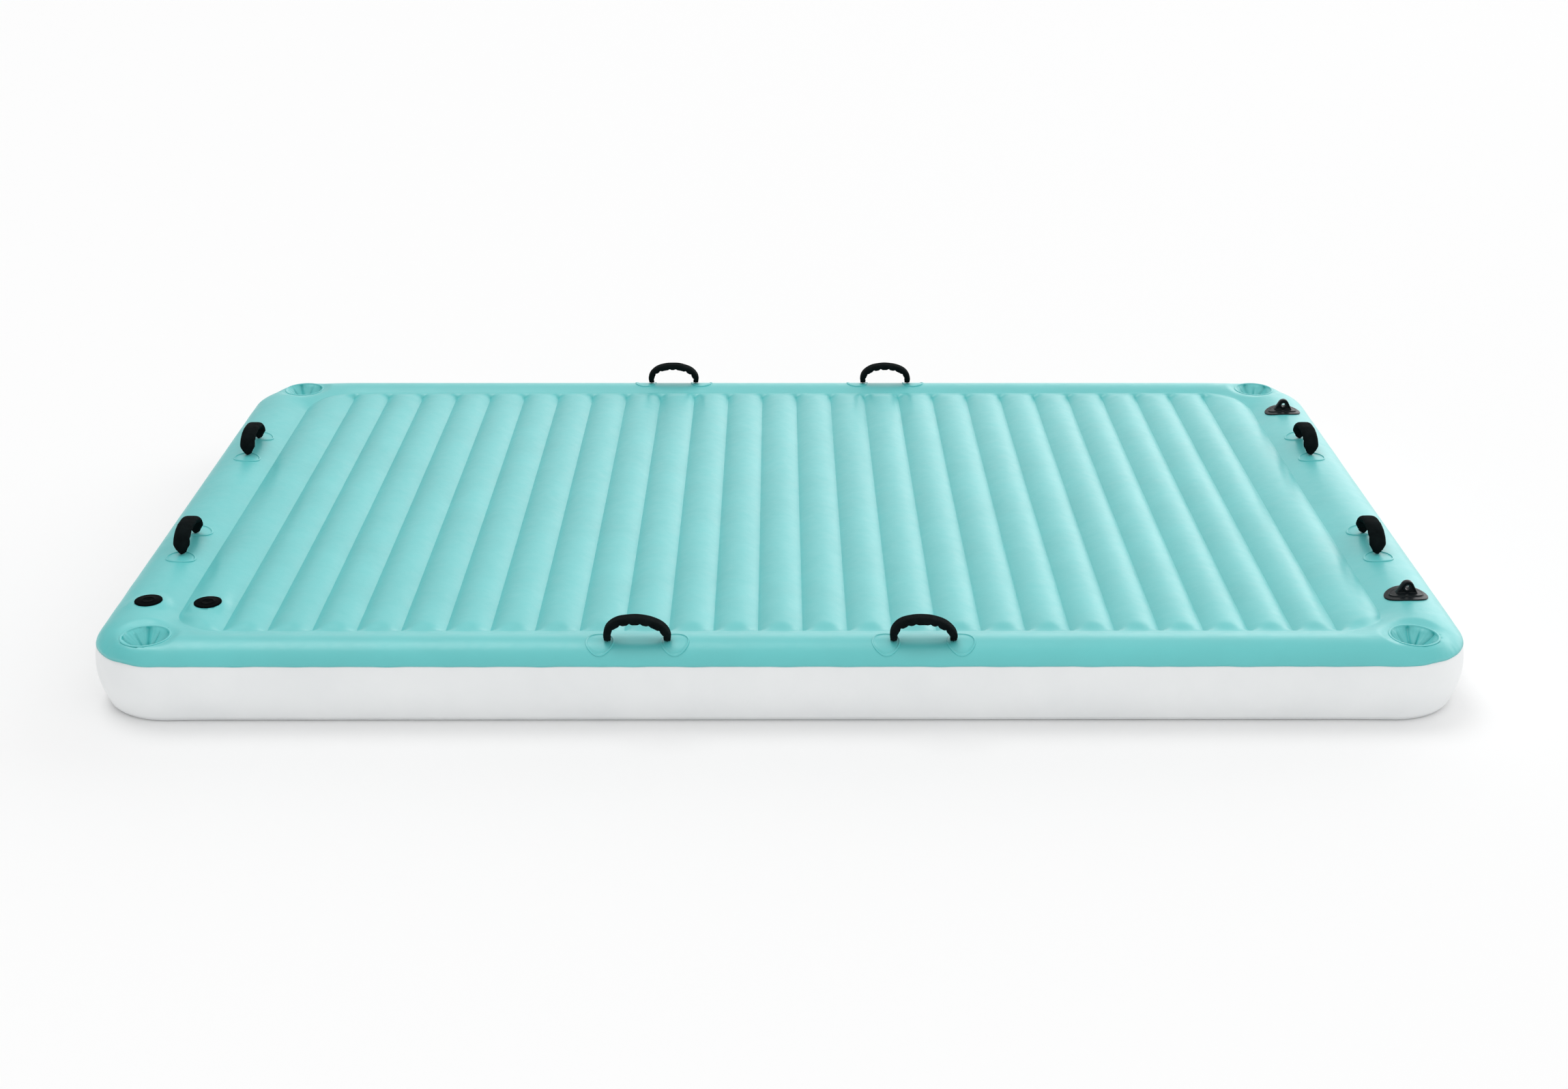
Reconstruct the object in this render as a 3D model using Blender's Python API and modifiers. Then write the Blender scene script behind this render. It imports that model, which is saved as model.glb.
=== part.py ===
"""Inflatable floating mat: a ribbed deck, a side wall and a bottom skin welded round two air chambers.

Metres, +Z up, +X along the mat, the mat resting on Z = 0 with its middle over the origin.
The inner chamber lies under the ribs, and each groove of the deck is held down by a web.
The outer chamber is the tube that runs round the ribs, behind an upright chamber wall.
Eight grab handles, four cup pockets, two rope lugs and two filling valves are welded to the deck.
"""

import math

import bpy
import bmesh
from mathutils import Matrix, Vector

MM = 0.001

# Clearances
SEAT_GAP = 0.3 * MM            # between two faces that touch on the real mat
OVERRUN = 20 * MM              # how far a cutter runs past what it cuts
WELD = 0.001 * MM              # distance at which two mesh points are one
LAP_GAP = 0.55 * MM            # between two films where one laps over the other

# The mat as a whole, outside sizes
RAFT_LENGTH = 3.10
RAFT_DEPTH = 1.89
SKIN = 0.75 * MM               # film of the deck, the side wall and the bottom
WEB_FILM = 0.9 * MM            # film of the webs and the chamber wall

# Deck panel with its ribs
RIB_COUNT = 27
RIB_PITCH = 100.5 * MM
END_RIB_WIDTH = 120.5 * MM
PANEL_DEPTH = 1.646
PANEL_CORNER = 130 * MM        # plan radius of the panel's corners
DECK_VALLEY = 163 * MM         # height of the grooves
RIB_RISE = 17.5 * MM           # rib crest above the groove
RIB_END_LENGTH = 65 * MM       # over which a rib closes at its end
GROOVE_END_LENGTH = 50 * MM    # over which a groove fades at its end
RIB_SHARES = (0.0, 0.25, 0.5, 0.75)
END_RIB_SHARES = (0.25, 0.5)
END_STEP_SHARES = (0.0, 0.3, 1.0)
CORNER_TURNS = (44, 56, 68, 90)   # degrees round the panel's corner, past the end rib's crest
RIBS_PER_FACET = 13            # ribs to one straight facet of the tube

# Tube round the deck
TUBE_CREST = 185 * MM          # height of the tube's crest
UPPER_SEAM = 143 * MM          # height where the deck meets the side wall
SEAM_CORNER = 170 * MM         # plan radius of the mat's corners at the upper seam
CREST_SHARE = 0.45             # crest's place between the groove and the seam
INNER_CROWN_SHARES = (0.15, 0.30, 0.45)
OUTER_CROWN_TURNS = (24, 45, 64, 80)   # degrees down from the crest

# Side wall
LOWER_SEAM = 14 * MM           # height where the side wall meets the bottom skin
WALL_INSET = 12 * MM           # lower seam's place inside the upper one
WALL_SAG = 12 * MM             # bulge of the wall past the line between its seams
WALL_SHARES = (0.0, 0.375, 0.7, 1.0)
LAP_SHARE = 0.9                # where the bottom skin's rim starts up the wall

# Bottom skin
BOTTOM_VALLEY = 16.5 * MM
FLOOR_TURN = 14 * MM           # width of the curve from the wall to the floor
FLOOR_STRIP = 30 * MM          # width of the flat that the mat rests on
BOTTOM_RIB_SHARES = (0.0, 0.38, 0.62)
BOTTOM_RISE_SHARES = (0.35, 0.7)
BOTTOM_END_SHARES = (0.0, 1.0)

# Webs under the grooves
WEB_FLANGE = 12 * MM           # weld flange folded over at the web's top
WEB_FLANGE_FILM = 0.9 * MM

# Cup pockets
CUP_X = 1.413
CUP_Y = 0.852
CUP_MOUTH_RADIUS = 51.5 * MM
CUP_BASE_RADIUS = 43.5 * MM
CUP_DEPTH = 100 * MM           # below the tube's crest
CUP_STRAIGHT = 24 * MM         # upright part of the pocket under its mouth
CUP_FILM = 1.2 * MM
CUP_FLANGE = 9 * MM            # width of the weld flange under the deck
CUP_ROOM = 40 * MM             # depth cleared over the deck at a pocket's mouth
CUP_STEPS = 20

# Grab handles
HANDLE_FOOT_SPAN = 132 * MM    # between the middles of a handle's two feet
HANDLE_HEIGHT = 63 * MM        # top of the sleeve above the deck
HANDLE_END_X = 316 * MM        # handles on the long edges, from the mat's middle
HANDLE_END_OUTSET = 17.55 * MM # and outside the tube's crest
HANDLE_SIDE_Y = 342 * MM       # handles on the short edges, from the mat's middle
HANDLE_SIDE_INSET = 6.26 * MM  # and inside the tube's crest
STRAP_WIDTH = 25 * MM
STRAP_THICKNESS = 2 * MM
SLEEVE_WIDTH = 40 * MM
SLEEVE_THICKNESS = 11 * MM
SLEEVE_END_WIDTH = 27 * MM     # the sleeve draws in at its mouths
SLEEVE_TAPER = 12 * MM         # over which it does
SLEEVE_START = 2 * MM          # mouth of the sleeve below the hinge line
SLOT_GAP = 0.4 * MM            # strap inside its sleeve
STRAP_END_TURNS = (75, 38)  # degrees down round the strap's round end
SLEEVE_EDGE_SHARE = 1.1        # width of a sleeve's slanted edge, of half its thickness
ARCH_STEPS = 7

# Welded patches under the handles' feet
PATCH_LENGTH = 72 * MM         # across the handle
PATCH_WIDTH = 64 * MM          # along the handle
PATCH_FILM = 0.8 * MM
PATCH_OFFSET = 17 * MM         # patch's middle outside the foot
PATCH_STEPS = 14

# Rope lugs
LUG_Y = 643 * MM
LUG_LENGTH = 100 * MM
LUG_WIDTH = 82 * MM
LUG_BASE = 3 * MM
LUG_STEP_LENGTH = 78 * MM
LUG_STEP_WIDTH = 48 * MM
LUG_STEP = 5 * MM
LUG_FIN_SPAN = 68 * MM
LUG_FIN_HEIGHT = 33 * MM       # above the crest of the skin
LUG_FIN_NOSE = 11 * MM         # radius over the fin's top
LUG_FIN_THICKNESS = 14 * MM
LUG_RIM = 4 * MM
LUG_RECESS = 5 * MM            # depth of the hollow on each side of the fin
LUG_BOSS_RADIUS = 10 * MM
LUG_BOSS_PROUD = 3.5 * MM      # boss past the hollow's floor
LUG_EYE_RADIUS = 5.5 * MM
LUG_EYE_HEIGHT = 16.5 * MM     # above the crest of the skin
LUG_STEPS = 20
LUG_NOSE_STEPS = 5

# Filling valves; heights count from the crest of the skin
VALVE_Y = 681 * MM
VALVE_RADIUS = 31.5 * MM
VALVE_TOP = 2.4 * MM
VALVE_LEDGE = 1.2 * MM         # where the cap's edge rests
VALVE_LEDGE_RADIUS = 29.9 * MM
VALVE_SINK = 8 * MM            # more than the flange follows the skin down
VALVE_NECK_RADIUS = 24.5 * MM
VALVE_WELL_RADIUS = 23.2 * MM
VALVE_WELL = 3.5 * MM          # depth of the seat for the gasket
VALVE_BORE_RADIUS = 19.5 * MM
VALVE_NECK = 26 * MM
VALVE_GROOVE = 0.3 * MM        # in the neck, where the skin meets it
SKIN_ROOM = 12 * MM            # depth cleared under the valve's flange
GASKET_THICKNESS = 1.0 * MM
GASKET_INNER_RADIUS = 20 * MM
GASKET_RADIUS = 23 * MM
INSERT_FLANGE = 1.2 * MM
INSERT_FLANGE_RADIUS = 22.9 * MM
INSERT_RADIUS = 19.1 * MM
INSERT_BORE_RADIUS = 13 * MM
INSERT_DEPTH = 18 * MM         # below its flange
INSERT_FLOOR = 1.5 * MM
VENT_RADIUS = 2.8 * MM
VENT_PLACE = 7.5 * MM
VENT_COUNT = 4
FLAP_RADIUS = 11.8 * MM
FLAP_THICKNESS = 1.2 * MM
FLAP_STEM_RADIUS = 1.8 * MM
FLAP_STEM = 8 * MM             # above the insert's floor
STEM_HOLE_RADIUS = 2.15 * MM
TETHER_THICKNESS = 0.8 * MM
TETHER_INNER_RADIUS = 14 * MM
TETHER_RADIUS = 19 * MM
CAP_RADIUS = 29.5 * MM
CAP_THICKNESS = 1.5 * MM
CAP_PLUG_RADIUS = 12.6 * MM
CAP_PLUG = 9 * MM
CAP_RING_RADIUS = 13.5 * MM
CAP_RING_WIDTH = 2.4 * MM
CAP_RING = 0.8 * MM
CAP_DIMPLE_RADIUS = 5.5 * MM
CAP_DIMPLE = 1.2 * MM
TURN_STEPS = 24
INNER_STEPS = 16
SMALL_STEPS = 12
VENT_STEPS = 6

# Worked out from the sizes above
PANEL_HALF_LENGTH = (RIB_COUNT - 2) * RIB_PITCH / 2 + END_RIB_WIDTH
PANEL_HALF_DEPTH = PANEL_DEPTH / 2
PANEL_ARC_X = PANEL_HALF_LENGTH - PANEL_CORNER
PANEL_ARC_Y = PANEL_HALF_DEPTH - PANEL_CORNER
WALL_HEIGHT = UPPER_SEAM - LOWER_SEAM
LAP_STEP = SKIN + LAP_GAP
BULGE_SHARE = 0.5 - WALL_INSET / (8 * WALL_SAG)
WALL_BULGE = 4 * WALL_SAG * BULGE_SHARE * (1 - BULGE_SHARE) - WALL_INSET * BULGE_SHARE - LAP_STEP
SEAM_HALF_LENGTH = RAFT_LENGTH / 2 - WALL_BULGE
SEAM_HALF_DEPTH = RAFT_DEPTH / 2 - WALL_BULGE
SEAM_ARC_X = SEAM_HALF_LENGTH - SEAM_CORNER
SEAM_ARC_Y = SEAM_HALF_DEPTH - SEAM_CORNER
LAST_TURN = math.radians(OUTER_CROWN_TURNS[-1])
CROWN_DROP = (TUBE_CREST - UPPER_SEAM) / (1 - math.cos(LAST_TURN))
SIDE_TUBE_X = PANEL_HALF_LENGTH + CREST_SHARE * (SEAM_HALF_LENGTH - PANEL_HALF_LENGTH)
END_TUBE_Y = PANEL_HALF_DEPTH + CREST_SHARE * (SEAM_HALF_DEPTH - PANEL_HALF_DEPTH)
END_RIB_X = PANEL_HALF_LENGTH - END_RIB_WIDTH / 2
HALF_SPAN = HANDLE_FOOT_SPAN / 2
STRAP_RADIUS = STRAP_WIDTH / 2

# Colours and finishes
AQUA = ((0.29, 0.63, 0.62, 1.0), 0.34, 0.0)
WHITE = ((0.80, 0.82, 0.82, 1.0), 0.36, 0.0)
FILM = ((0.62, 0.72, 0.72, 1.0), 0.45, 0.0)
BLACK_WEBBING = ((0.012, 0.015, 0.015, 1.0), 0.85, 0.0)
BLACK_SLEEVE = ((0.010, 0.014, 0.014, 1.0), 0.78, 0.0)
BLACK_RUBBER = ((0.020, 0.026, 0.028, 1.0), 0.42, 0.0)
BLACK_PLASTIC = ((0.008, 0.012, 0.013, 1.0), 0.30, 0.0)
SEAL = ((0.45, 0.50, 0.50, 1.0), 0.55, 0.0)


def clear_scene():
    for thing in list(bpy.data.objects):
        bpy.data.objects.remove(thing, do_unlink=True)


def collection(name):
    made = bpy.data.collections.new(name)
    bpy.context.scene.collection.children.link(made)
    return made


def material(name, finish):
    colour, roughness, metallic = finish
    made = bpy.data.materials.new(name)
    made.use_nodes = True
    shader = made.node_tree.nodes["Principled BSDF"]
    shader.inputs["Base Color"].default_value = colour
    shader.inputs["Roughness"].default_value = roughness
    shader.inputs["Metallic"].default_value = metallic
    made.diffuse_color = colour
    return made


def piece(name, mesh, finish, place=(0, 0, 0), smooth=40):
    """One named part of the mat, with its own material."""
    made = bpy.data.objects.new(name, mesh)
    made.location = place
    RAFT.objects.link(made)
    if smooth:
        mesh.shade_smooth()
        mesh.set_sharp_from_angle(angle=math.radians(smooth))
    mesh.materials.clear()
    mesh.materials.append(material(name, finish))
    return made


def cutter(name, mesh, place=(0, 0, 0)):
    """A shape that cuts or joins a part and isn't one itself."""
    made = bpy.data.objects.new(name, mesh)
    made.location = place
    made.hide_render = True
    made.display_type = "WIRE"
    CUTTERS.objects.link(made)
    return made


def boolean(target, other, operation):
    step = target.modifiers.new(other.name, "BOOLEAN")
    step.operation = operation
    step.object = other
    return step


def layer(target, low, high):
    """Wall between two distances from the surface, along its normals."""
    step = target.modifiers.new("wall", "SOLIDIFY")
    step.thickness = high - low
    step.offset = 2 * high / (high - low) - 1
    step.use_even_offset = True
    step.use_quality_normals = True
    return step


def mesh_from(bm, name):
    made = bpy.data.meshes.new(name)
    bm.to_mesh(made)
    bm.free()
    return made


def disc_mesh(name, radius, low, high, steps=TURN_STEPS, top_radius=None):
    """Round bar between two heights, tapered where the top has its own radius."""
    bm = bmesh.new()
    wide = radius if top_radius is None else top_radius
    bmesh.ops.create_cone(bm, cap_ends=True, segments=steps, radius1=radius, radius2=wide, depth=high - low)
    bmesh.ops.translate(bm, vec=(0, 0, (low + high) / 2), verts=bm.verts)
    return mesh_from(bm, name)


def oval_mesh(name, length, width, low, high, steps):
    """Upright oval bar, its length along X."""
    bm = bmesh.new()
    bmesh.ops.create_cone(bm, cap_ends=True, segments=steps, radius1=length / 2, radius2=length / 2, depth=high - low)
    bmesh.ops.scale(bm, vec=(1, width / length, 1), verts=bm.verts)
    bmesh.ops.translate(bm, vec=(0, 0, (low + high) / 2), verts=bm.verts)
    return mesh_from(bm, name)


def turned(name, profile, finish, place, steps=TURN_STEPS):
    """Ring or disc turned about Z from a profile of (radius, height) points, outer side downwards."""
    bm = bmesh.new()
    points = [bm.verts.new((radius, 0, height)) for radius, height in profile]
    closed = min(radius for radius, _ in profile) > 0
    pairs = list(zip(points, points[1:])) + ([(points[-1], points[0])] if closed else [])
    for pair in pairs:
        bm.edges.new(pair)
    made = piece(name, mesh_from(bm, name), finish, place, smooth=None)
    turn = made.modifiers.new("turn", "SCREW")
    turn.axis = "Z"
    turn.steps = steps
    turn.render_steps = steps
    turn.use_merge_vertices = True
    turn.merge_threshold = WELD
    turn.use_smooth_shade = True
    return made


def loft(name, rings):
    """Closed body through rings of points, each ring with the same count, capped at both ends."""
    bm = bmesh.new()
    rows = [[bm.verts.new(point) for point in ring] for ring in rings]
    count = len(rings[0])
    for near, far in zip(rows, rows[1:]):
        for k in range(count):
            n = (k + 1) % count
            bm.faces.new((near[k], near[n], far[n], far[k]))
    bm.faces.new(list(reversed(rows[0])))
    bm.faces.new(rows[-1])
    bmesh.ops.recalc_face_normals(bm, faces=bm.faces)
    return mesh_from(bm, name)


def smoothstep(share):
    share = min(max(share, 0), 1)
    return share * share * (3 - 2 * share)


def panel_end(x):
    """Half the panel's depth at one place along the mat, with its round corners."""
    past = abs(x) - PANEL_ARC_X
    if past <= 0:
        return PANEL_HALF_DEPTH
    return PANEL_ARC_Y + math.sqrt(max(PANEL_CORNER ** 2 - past ** 2, 0))


def rib_columns(shares):
    """Places along X of the ribs' grooves, flanks and crests, from one end of the panel to the other."""
    edge = (RIB_COUNT - 2) * RIB_PITCH / 2
    middle = [-edge + (rib + share) * RIB_PITCH for rib in range(RIB_COUNT - 2) for share in shares] + [edge]
    end = [edge + share * END_RIB_WIDTH for share in END_RIB_SHARES]
    end += [PANEL_ARC_X + PANEL_CORNER * math.sin(math.radians(turn)) for turn in CORNER_TURNS]
    return [-x for x in reversed(end)] + middle + end


def rib_height(x):
    """Height of the rib over its grooves as a share of its rise: an arch over each rib's width."""
    edge = (RIB_COUNT - 2) * RIB_PITCH / 2
    if abs(x) <= edge:
        share = ((x + edge) / RIB_PITCH) % 1.0
    else:
        share = (abs(x) - edge) / END_RIB_WIDTH
    return 1 - (2 * share - 1) ** 2


def panel_rise(x, inside):
    """Deck height over the grooves, where the ribs close and the grooves fade towards the panel's end."""
    closing = math.sqrt(1 - (1 - min(inside / RIB_END_LENGTH, 1)) ** 2)
    groove = smoothstep(inside / GROOVE_END_LENGTH)
    outer = rib_height(x) if abs(x) > END_RIB_X else 1.0
    return RIB_RISE * closing * (rib_height(x) * groove + outer * (1 - groove) / 2)


def seam_point(x, y):
    """Point of the upper seam, in plan, that faces a point of the panel's edge."""
    ax, ay = abs(x), abs(y)
    if ax <= PANEL_ARC_X + WELD:
        sx, sy = ax, SEAM_HALF_DEPTH
    elif ay <= PANEL_ARC_Y + WELD:
        sx, sy = SEAM_HALF_LENGTH, ay
    else:
        dx, dy = (ax - PANEL_ARC_X) / PANEL_CORNER, (ay - PANEL_ARC_Y) / PANEL_CORNER
        to_end = (SEAM_HALF_DEPTH - PANEL_ARC_Y) / dy
        to_side = (SEAM_HALF_LENGTH - PANEL_ARC_X) / dx
        if PANEL_ARC_X + dx * to_end <= SEAM_ARC_X:
            reach = to_end
        elif PANEL_ARC_Y + dy * to_side <= SEAM_ARC_Y:
            reach = to_side
        else:
            ox, oy = PANEL_ARC_X - SEAM_ARC_X, PANEL_ARC_Y - SEAM_ARC_Y
            along = dx * ox + dy * oy
            reach = math.sqrt(along ** 2 - ox ** 2 - oy ** 2 + SEAM_CORNER ** 2) - along
        sx, sy = PANEL_ARC_X + dx * reach, PANEL_ARC_Y + dy * reach
    return math.copysign(sx, x), math.copysign(sy, y)


def tube_point(x, y, share, back, height):
    """Point of the tube's section that stands at a point of the panel's edge."""
    sx, sy = seam_point(x, y)
    width = math.hypot(sx - x, sy - y)
    out = (width - back) * share / width
    return Vector((x + (sx - x) * out, y + (sy - y) * out, height))


def deck_section():
    """Section of the deck's tube from the panel to the upper seam: share outwards, inset, height."""
    section = []
    for share in INNER_CROWN_SHARES:
        lift = math.sin(math.pi / 2 * share / CREST_SHARE)
        section.append((share, 0, DECK_VALLEY + (TUBE_CREST - DECK_VALLEY) * lift))
    for degrees in OUTER_CROWN_TURNS:
        turn = math.radians(degrees)
        share = CREST_SHARE + (1 - CREST_SHARE) * math.sin(turn) / math.sin(LAST_TURN)
        section.append((share, 0, TUBE_CREST - CROWN_DROP * (1 - math.cos(turn))))
    return section


def wall_line(share):
    """Inset and height of the side wall's outer face, from its upper seam (0) to its lower one (1)."""
    bulge = 4 * WALL_SAG * share * (1 - share)
    return LAP_STEP + WALL_INSET * share - bulge, UPPER_SEAM - WALL_HEIGHT * share


def bottom_section():
    """Section of the bottom skin from the panel to its rim on the side wall."""
    inset, height = wall_line(1)
    upper_inset, upper_height = wall_line(LAP_SHARE)
    lean = (inset - upper_inset) / (upper_height - height)
    rim_inset = inset - LAP_STEP
    knee_height = height - 2 * LAP_STEP
    knee_inset = rim_inset + lean * (height - knee_height)
    knee = rim_inset + lean * height
    floor_inset = knee + FLOOR_TURN
    strip_inset = floor_inset + FLOOR_STRIP
    section = []
    for share in BOTTOM_RISE_SHARES:
        drop = BOTTOM_VALLEY * math.cos(math.pi / 2 * share)
        section.append((share, strip_inset, drop))
    section.append((1, strip_inset, 0))
    section.append((1, floor_inset, 0))
    section.append((1, knee + FLOOR_TURN / 4, knee_height / 4))
    section.append((1, knee_inset, knee_height))
    section.append((1, upper_inset - LAP_STEP, upper_height))
    return section


def ribbed_skin(name, columns, end_shares, section, rise, downwards=False):
    """Open skin of the deck or the bottom: the ribbed panel with the tube's half section all round it.

    The panel is a grid, and each of its edges carries rings of the section outwards.
    """
    rings = len(section)
    steps = [share * RIB_END_LENGTH for share in end_shares]
    wide, deep = len(columns) - 1, 2 * len(steps) - 1
    across, along = wide + 2 * rings, deep + 2 * rings
    bm = bmesh.new()
    bmesh.ops.create_grid(bm, x_segments=across, y_segments=along, size=1)
    cells = {v: (round((v.co.x + 1) / 2 * across), round((v.co.y + 1) / 2 * along)) for v in bm.verts}

    def outside(cell, count):
        return cell < rings or cell >= rings + count

    corners = []
    for face in bm.faces:
        column = min(cells[v][0] for v in face.verts)
        row = min(cells[v][1] for v in face.verts)
        if outside(column, wide) and outside(row, deep):
            corners.append(face)
    bmesh.ops.delete(bm, geom=corners, context="FACES")

    ring_of = {}
    for v in bm.verts:
        i, j = cells[v]
        column = min(max(i - rings, 0), wide)
        row = min(max(j - rings, 0), deep)
        ring = max(abs(i - rings - column), abs(j - rings - row))
        x = columns[column]
        inside = steps[row] if row < len(steps) else steps[deep - row]
        y = math.copysign(panel_end(x) - inside, row - deep / 2)
        if ring:
            share, back, height = section[ring - 1]
            v.co = tube_point(x, y, share, back, height)
        else:
            v.co = (x, y, rise(x, inside))
        ring_of[v] = (ring, column)

    joints = set()
    edge = (RIB_COUNT - 2) * RIB_PITCH / 2
    for rib in range(0, RIB_COUNT - 1, RIBS_PER_FACET):
        joints.add(min(range(wide + 1), key=lambda k: abs(columns[k] + edge - rib * RIB_PITCH)))
    joints.add(min(range(wide + 1), key=lambda k: abs(columns[k] - edge)))
    plain = []
    for e in bm.edges:
        (ring_a, column_a), (ring_b, column_b) = (ring_of[v] for v in e.verts)
        straight = abs(columns[column_a]) < edge + WELD and column_a == column_b
        if straight and column_a not in joints and ring_a != ring_b:
            plain.append(e)
    bmesh.ops.dissolve_edges(bm, edges=plain, use_verts=True)
    bmesh.ops.remove_doubles(bm, verts=bm.verts, dist=WELD)
    bmesh.ops.recalc_face_normals(bm, faces=bm.faces)
    if (max(bm.faces, key=lambda f: f.calc_area()).normal.z < 0) != downwards:
        bmesh.ops.reverse_faces(bm, faces=bm.faces)
    return mesh_from(bm, name)


def deck_rise(x, inside):
    return DECK_VALLEY + panel_rise(x, inside)


def bottom_rise(x, inside):
    return max(BOTTOM_VALLEY - panel_rise(x, inside), 0)


def edge_loop(columns):
    """Points round the panel's edge in plan, with the straight runs in long facets."""
    edge = (RIB_COUNT - 2) * RIB_PITCH / 2
    run = [-edge + rib * RIB_PITCH for rib in range(0, RIB_COUNT - 1, RIBS_PER_FACET)]
    places = [x for x in columns if x < -edge - WELD] + run + [edge] + [x for x in columns if x > edge + WELD]
    places = [x for k, x in enumerate(places) if k == 0 or x - places[k - 1] > WELD]
    steps = [share * RIB_END_LENGTH for share in END_STEP_SHARES]
    front = [(x, -panel_end(x)) for x in places]
    right = [(PANEL_HALF_LENGTH, -PANEL_ARC_Y + step) for step in steps[1:]]
    right += [(PANEL_HALF_LENGTH, PANEL_ARC_Y - step) for step in reversed(steps[1:])]
    back = [(-x, -y) for x, y in front]
    left = [(-x, -y) for x, y in right]
    return front + right + back + left


def ring_wall(name, loop, section):
    """Open wall that carries a section round the mat."""
    bm = bmesh.new()
    rows = [[bm.verts.new(tube_point(x, y, *place)) for x, y in loop] for place in section]
    count = len(loop)
    for upper, lower in zip(rows, rows[1:]):
        for k in range(count):
            n = (k + 1) % count
            bm.faces.new((upper[k], lower[k], lower[n], upper[n]))
    bmesh.ops.recalc_face_normals(bm, faces=bm.faces)
    side = max(bm.faces, key=lambda f: f.calc_center_median().x)
    if side.normal.x < 0:
        bmesh.ops.reverse_faces(bm, faces=bm.faces)
    return mesh_from(bm, name)


def deck_height(x, y):
    """Height of the deck's faceted tube at a point between the panel and the seam."""
    ax, ay = abs(x), abs(y)
    if ay > PANEL_HALF_DEPTH:
        share = (ay - PANEL_HALF_DEPTH) / (SEAM_HALF_DEPTH - PANEL_HALF_DEPTH)
    else:
        share = (ax - PANEL_HALF_LENGTH) / (SEAM_HALF_LENGTH - PANEL_HALF_LENGTH)
    section = [(0, 0, DECK_VALLEY)] + deck_section()
    for (near, _, low), (far, _, high) in zip(section, section[1:]):
        if near <= share <= far:
            return low + (high - low) * (share - near) / (far - near)
    return UPPER_SEAM


def build_skins():
    """Deck, side wall and bottom, with the chamber wall between the two air chambers."""
    columns = rib_columns(RIB_SHARES)
    deck_mesh = ribbed_skin("deck_surface", columns, END_STEP_SHARES, deck_section(), deck_rise)
    deck = piece("deck_skin", deck_mesh.copy(), AQUA)
    layer(deck, -SKIN, 0)

    loop = edge_loop(columns)
    lap_turn, lap_end = (math.radians(turn) for turn in OUTER_CROWN_TURNS[-2:])
    lap_share = CREST_SHARE + (1 - CREST_SHARE) * math.sin(lap_turn) / math.sin(LAST_TURN)
    lap_height = TUBE_CREST - CROWN_DROP * (1 - math.cos(lap_turn))
    lap_rise = lap_height - UPPER_SEAM
    slope = math.atan2(lap_rise, (1 - lap_share) * (SEAM_HALF_LENGTH - PANEL_HALF_LENGTH))
    wall_section = [(lap_share, LAP_STEP / math.sin(slope), lap_height)]
    wall_section += [(1, *wall_line(share)) for share in WALL_SHARES]
    wall = piece("side_wall", ring_wall("side_wall", loop, wall_section), WHITE)
    layer(wall, -SKIN, 0)

    bottom_columns = rib_columns(BOTTOM_RIB_SHARES)
    bottom_mesh = ribbed_skin(
        "bottom_skin", bottom_columns, BOTTOM_END_SHARES, bottom_section(), bottom_rise, downwards=True)
    bottom = piece("bottom_skin", bottom_mesh, WHITE)
    layer(bottom, -SKIN, 0)

    foot = BOTTOM_VALLEY + SKIN * 2 + SEAT_GAP
    top = DECK_VALLEY - SKIN * 2 - SEAT_GAP
    chamber_section = [(0, 0, top), (0, 0, foot)]
    chamber = piece("chamber_wall", ring_wall("chamber_wall", loop, chamber_section), FILM)
    layer(chamber, -WEB_FILM / 2, WEB_FILM / 2)
    return deck_mesh, deck, bottom


def seat_height(x, y, radius):
    """Height at which a bar of this radius, laid along the tube, just rests on the faceted deck."""
    if abs(y) > PANEL_HALF_DEPTH:
        place, start, end = abs(y), PANEL_HALF_DEPTH, SEAM_HALF_DEPTH
    else:
        place, start, end = abs(x), PANEL_HALF_LENGTH, SEAM_HALF_LENGTH
    section = [(start + (end - start) * share, height) for share, _, height in deck_section()]
    found = []
    for (near, low), (far, high) in zip(section, section[1:]):
        slope = (high - low) / (far - near)
        found.append(low + slope * (place - near) + radius * math.hypot(1, slope))
    return min(found)


def deck_layer(name, deck_mesh, low, high, outline, place):
    """Sheet that follows the deck's surface between two distances, cut to an upright outline."""
    made = cutter(name, deck_mesh.copy())
    layer(made, low, high)
    boolean(made, cutter(name + "_outline", outline, place), "INTERSECT")
    return made


def build_webs(bottom):
    """Upright web under each groove, welded to the bottom skin, with a flange under the deck."""
    half = PANEL_HALF_DEPTH - RIB_END_LENGTH
    top = DECK_VALLEY - SKIN * 2 - SEAT_GAP
    flange_low = top - WEB_FLANGE_FILM
    foot = BOTTOM_VALLEY + SKIN / 2
    for web in range(RIB_COUNT - 1):
        x = (web - (RIB_COUNT - 2) / 2) * RIB_PITCH
        outline = [
            (-WEB_FILM / 2, foot), (WEB_FILM / 2, foot), (WEB_FILM / 2, flange_low),
            (WEB_FLANGE, flange_low), (WEB_FLANGE, top), (-WEB_FILM / 2, top),
        ]
        rings = [[(x + across, y, height) for across, height in outline] for y in (-half, half)]
        boolean(bottom, cutter(f"web_{web + 1:02d}", loft(f"web_{web + 1:02d}", rings)), "UNION")


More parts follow.
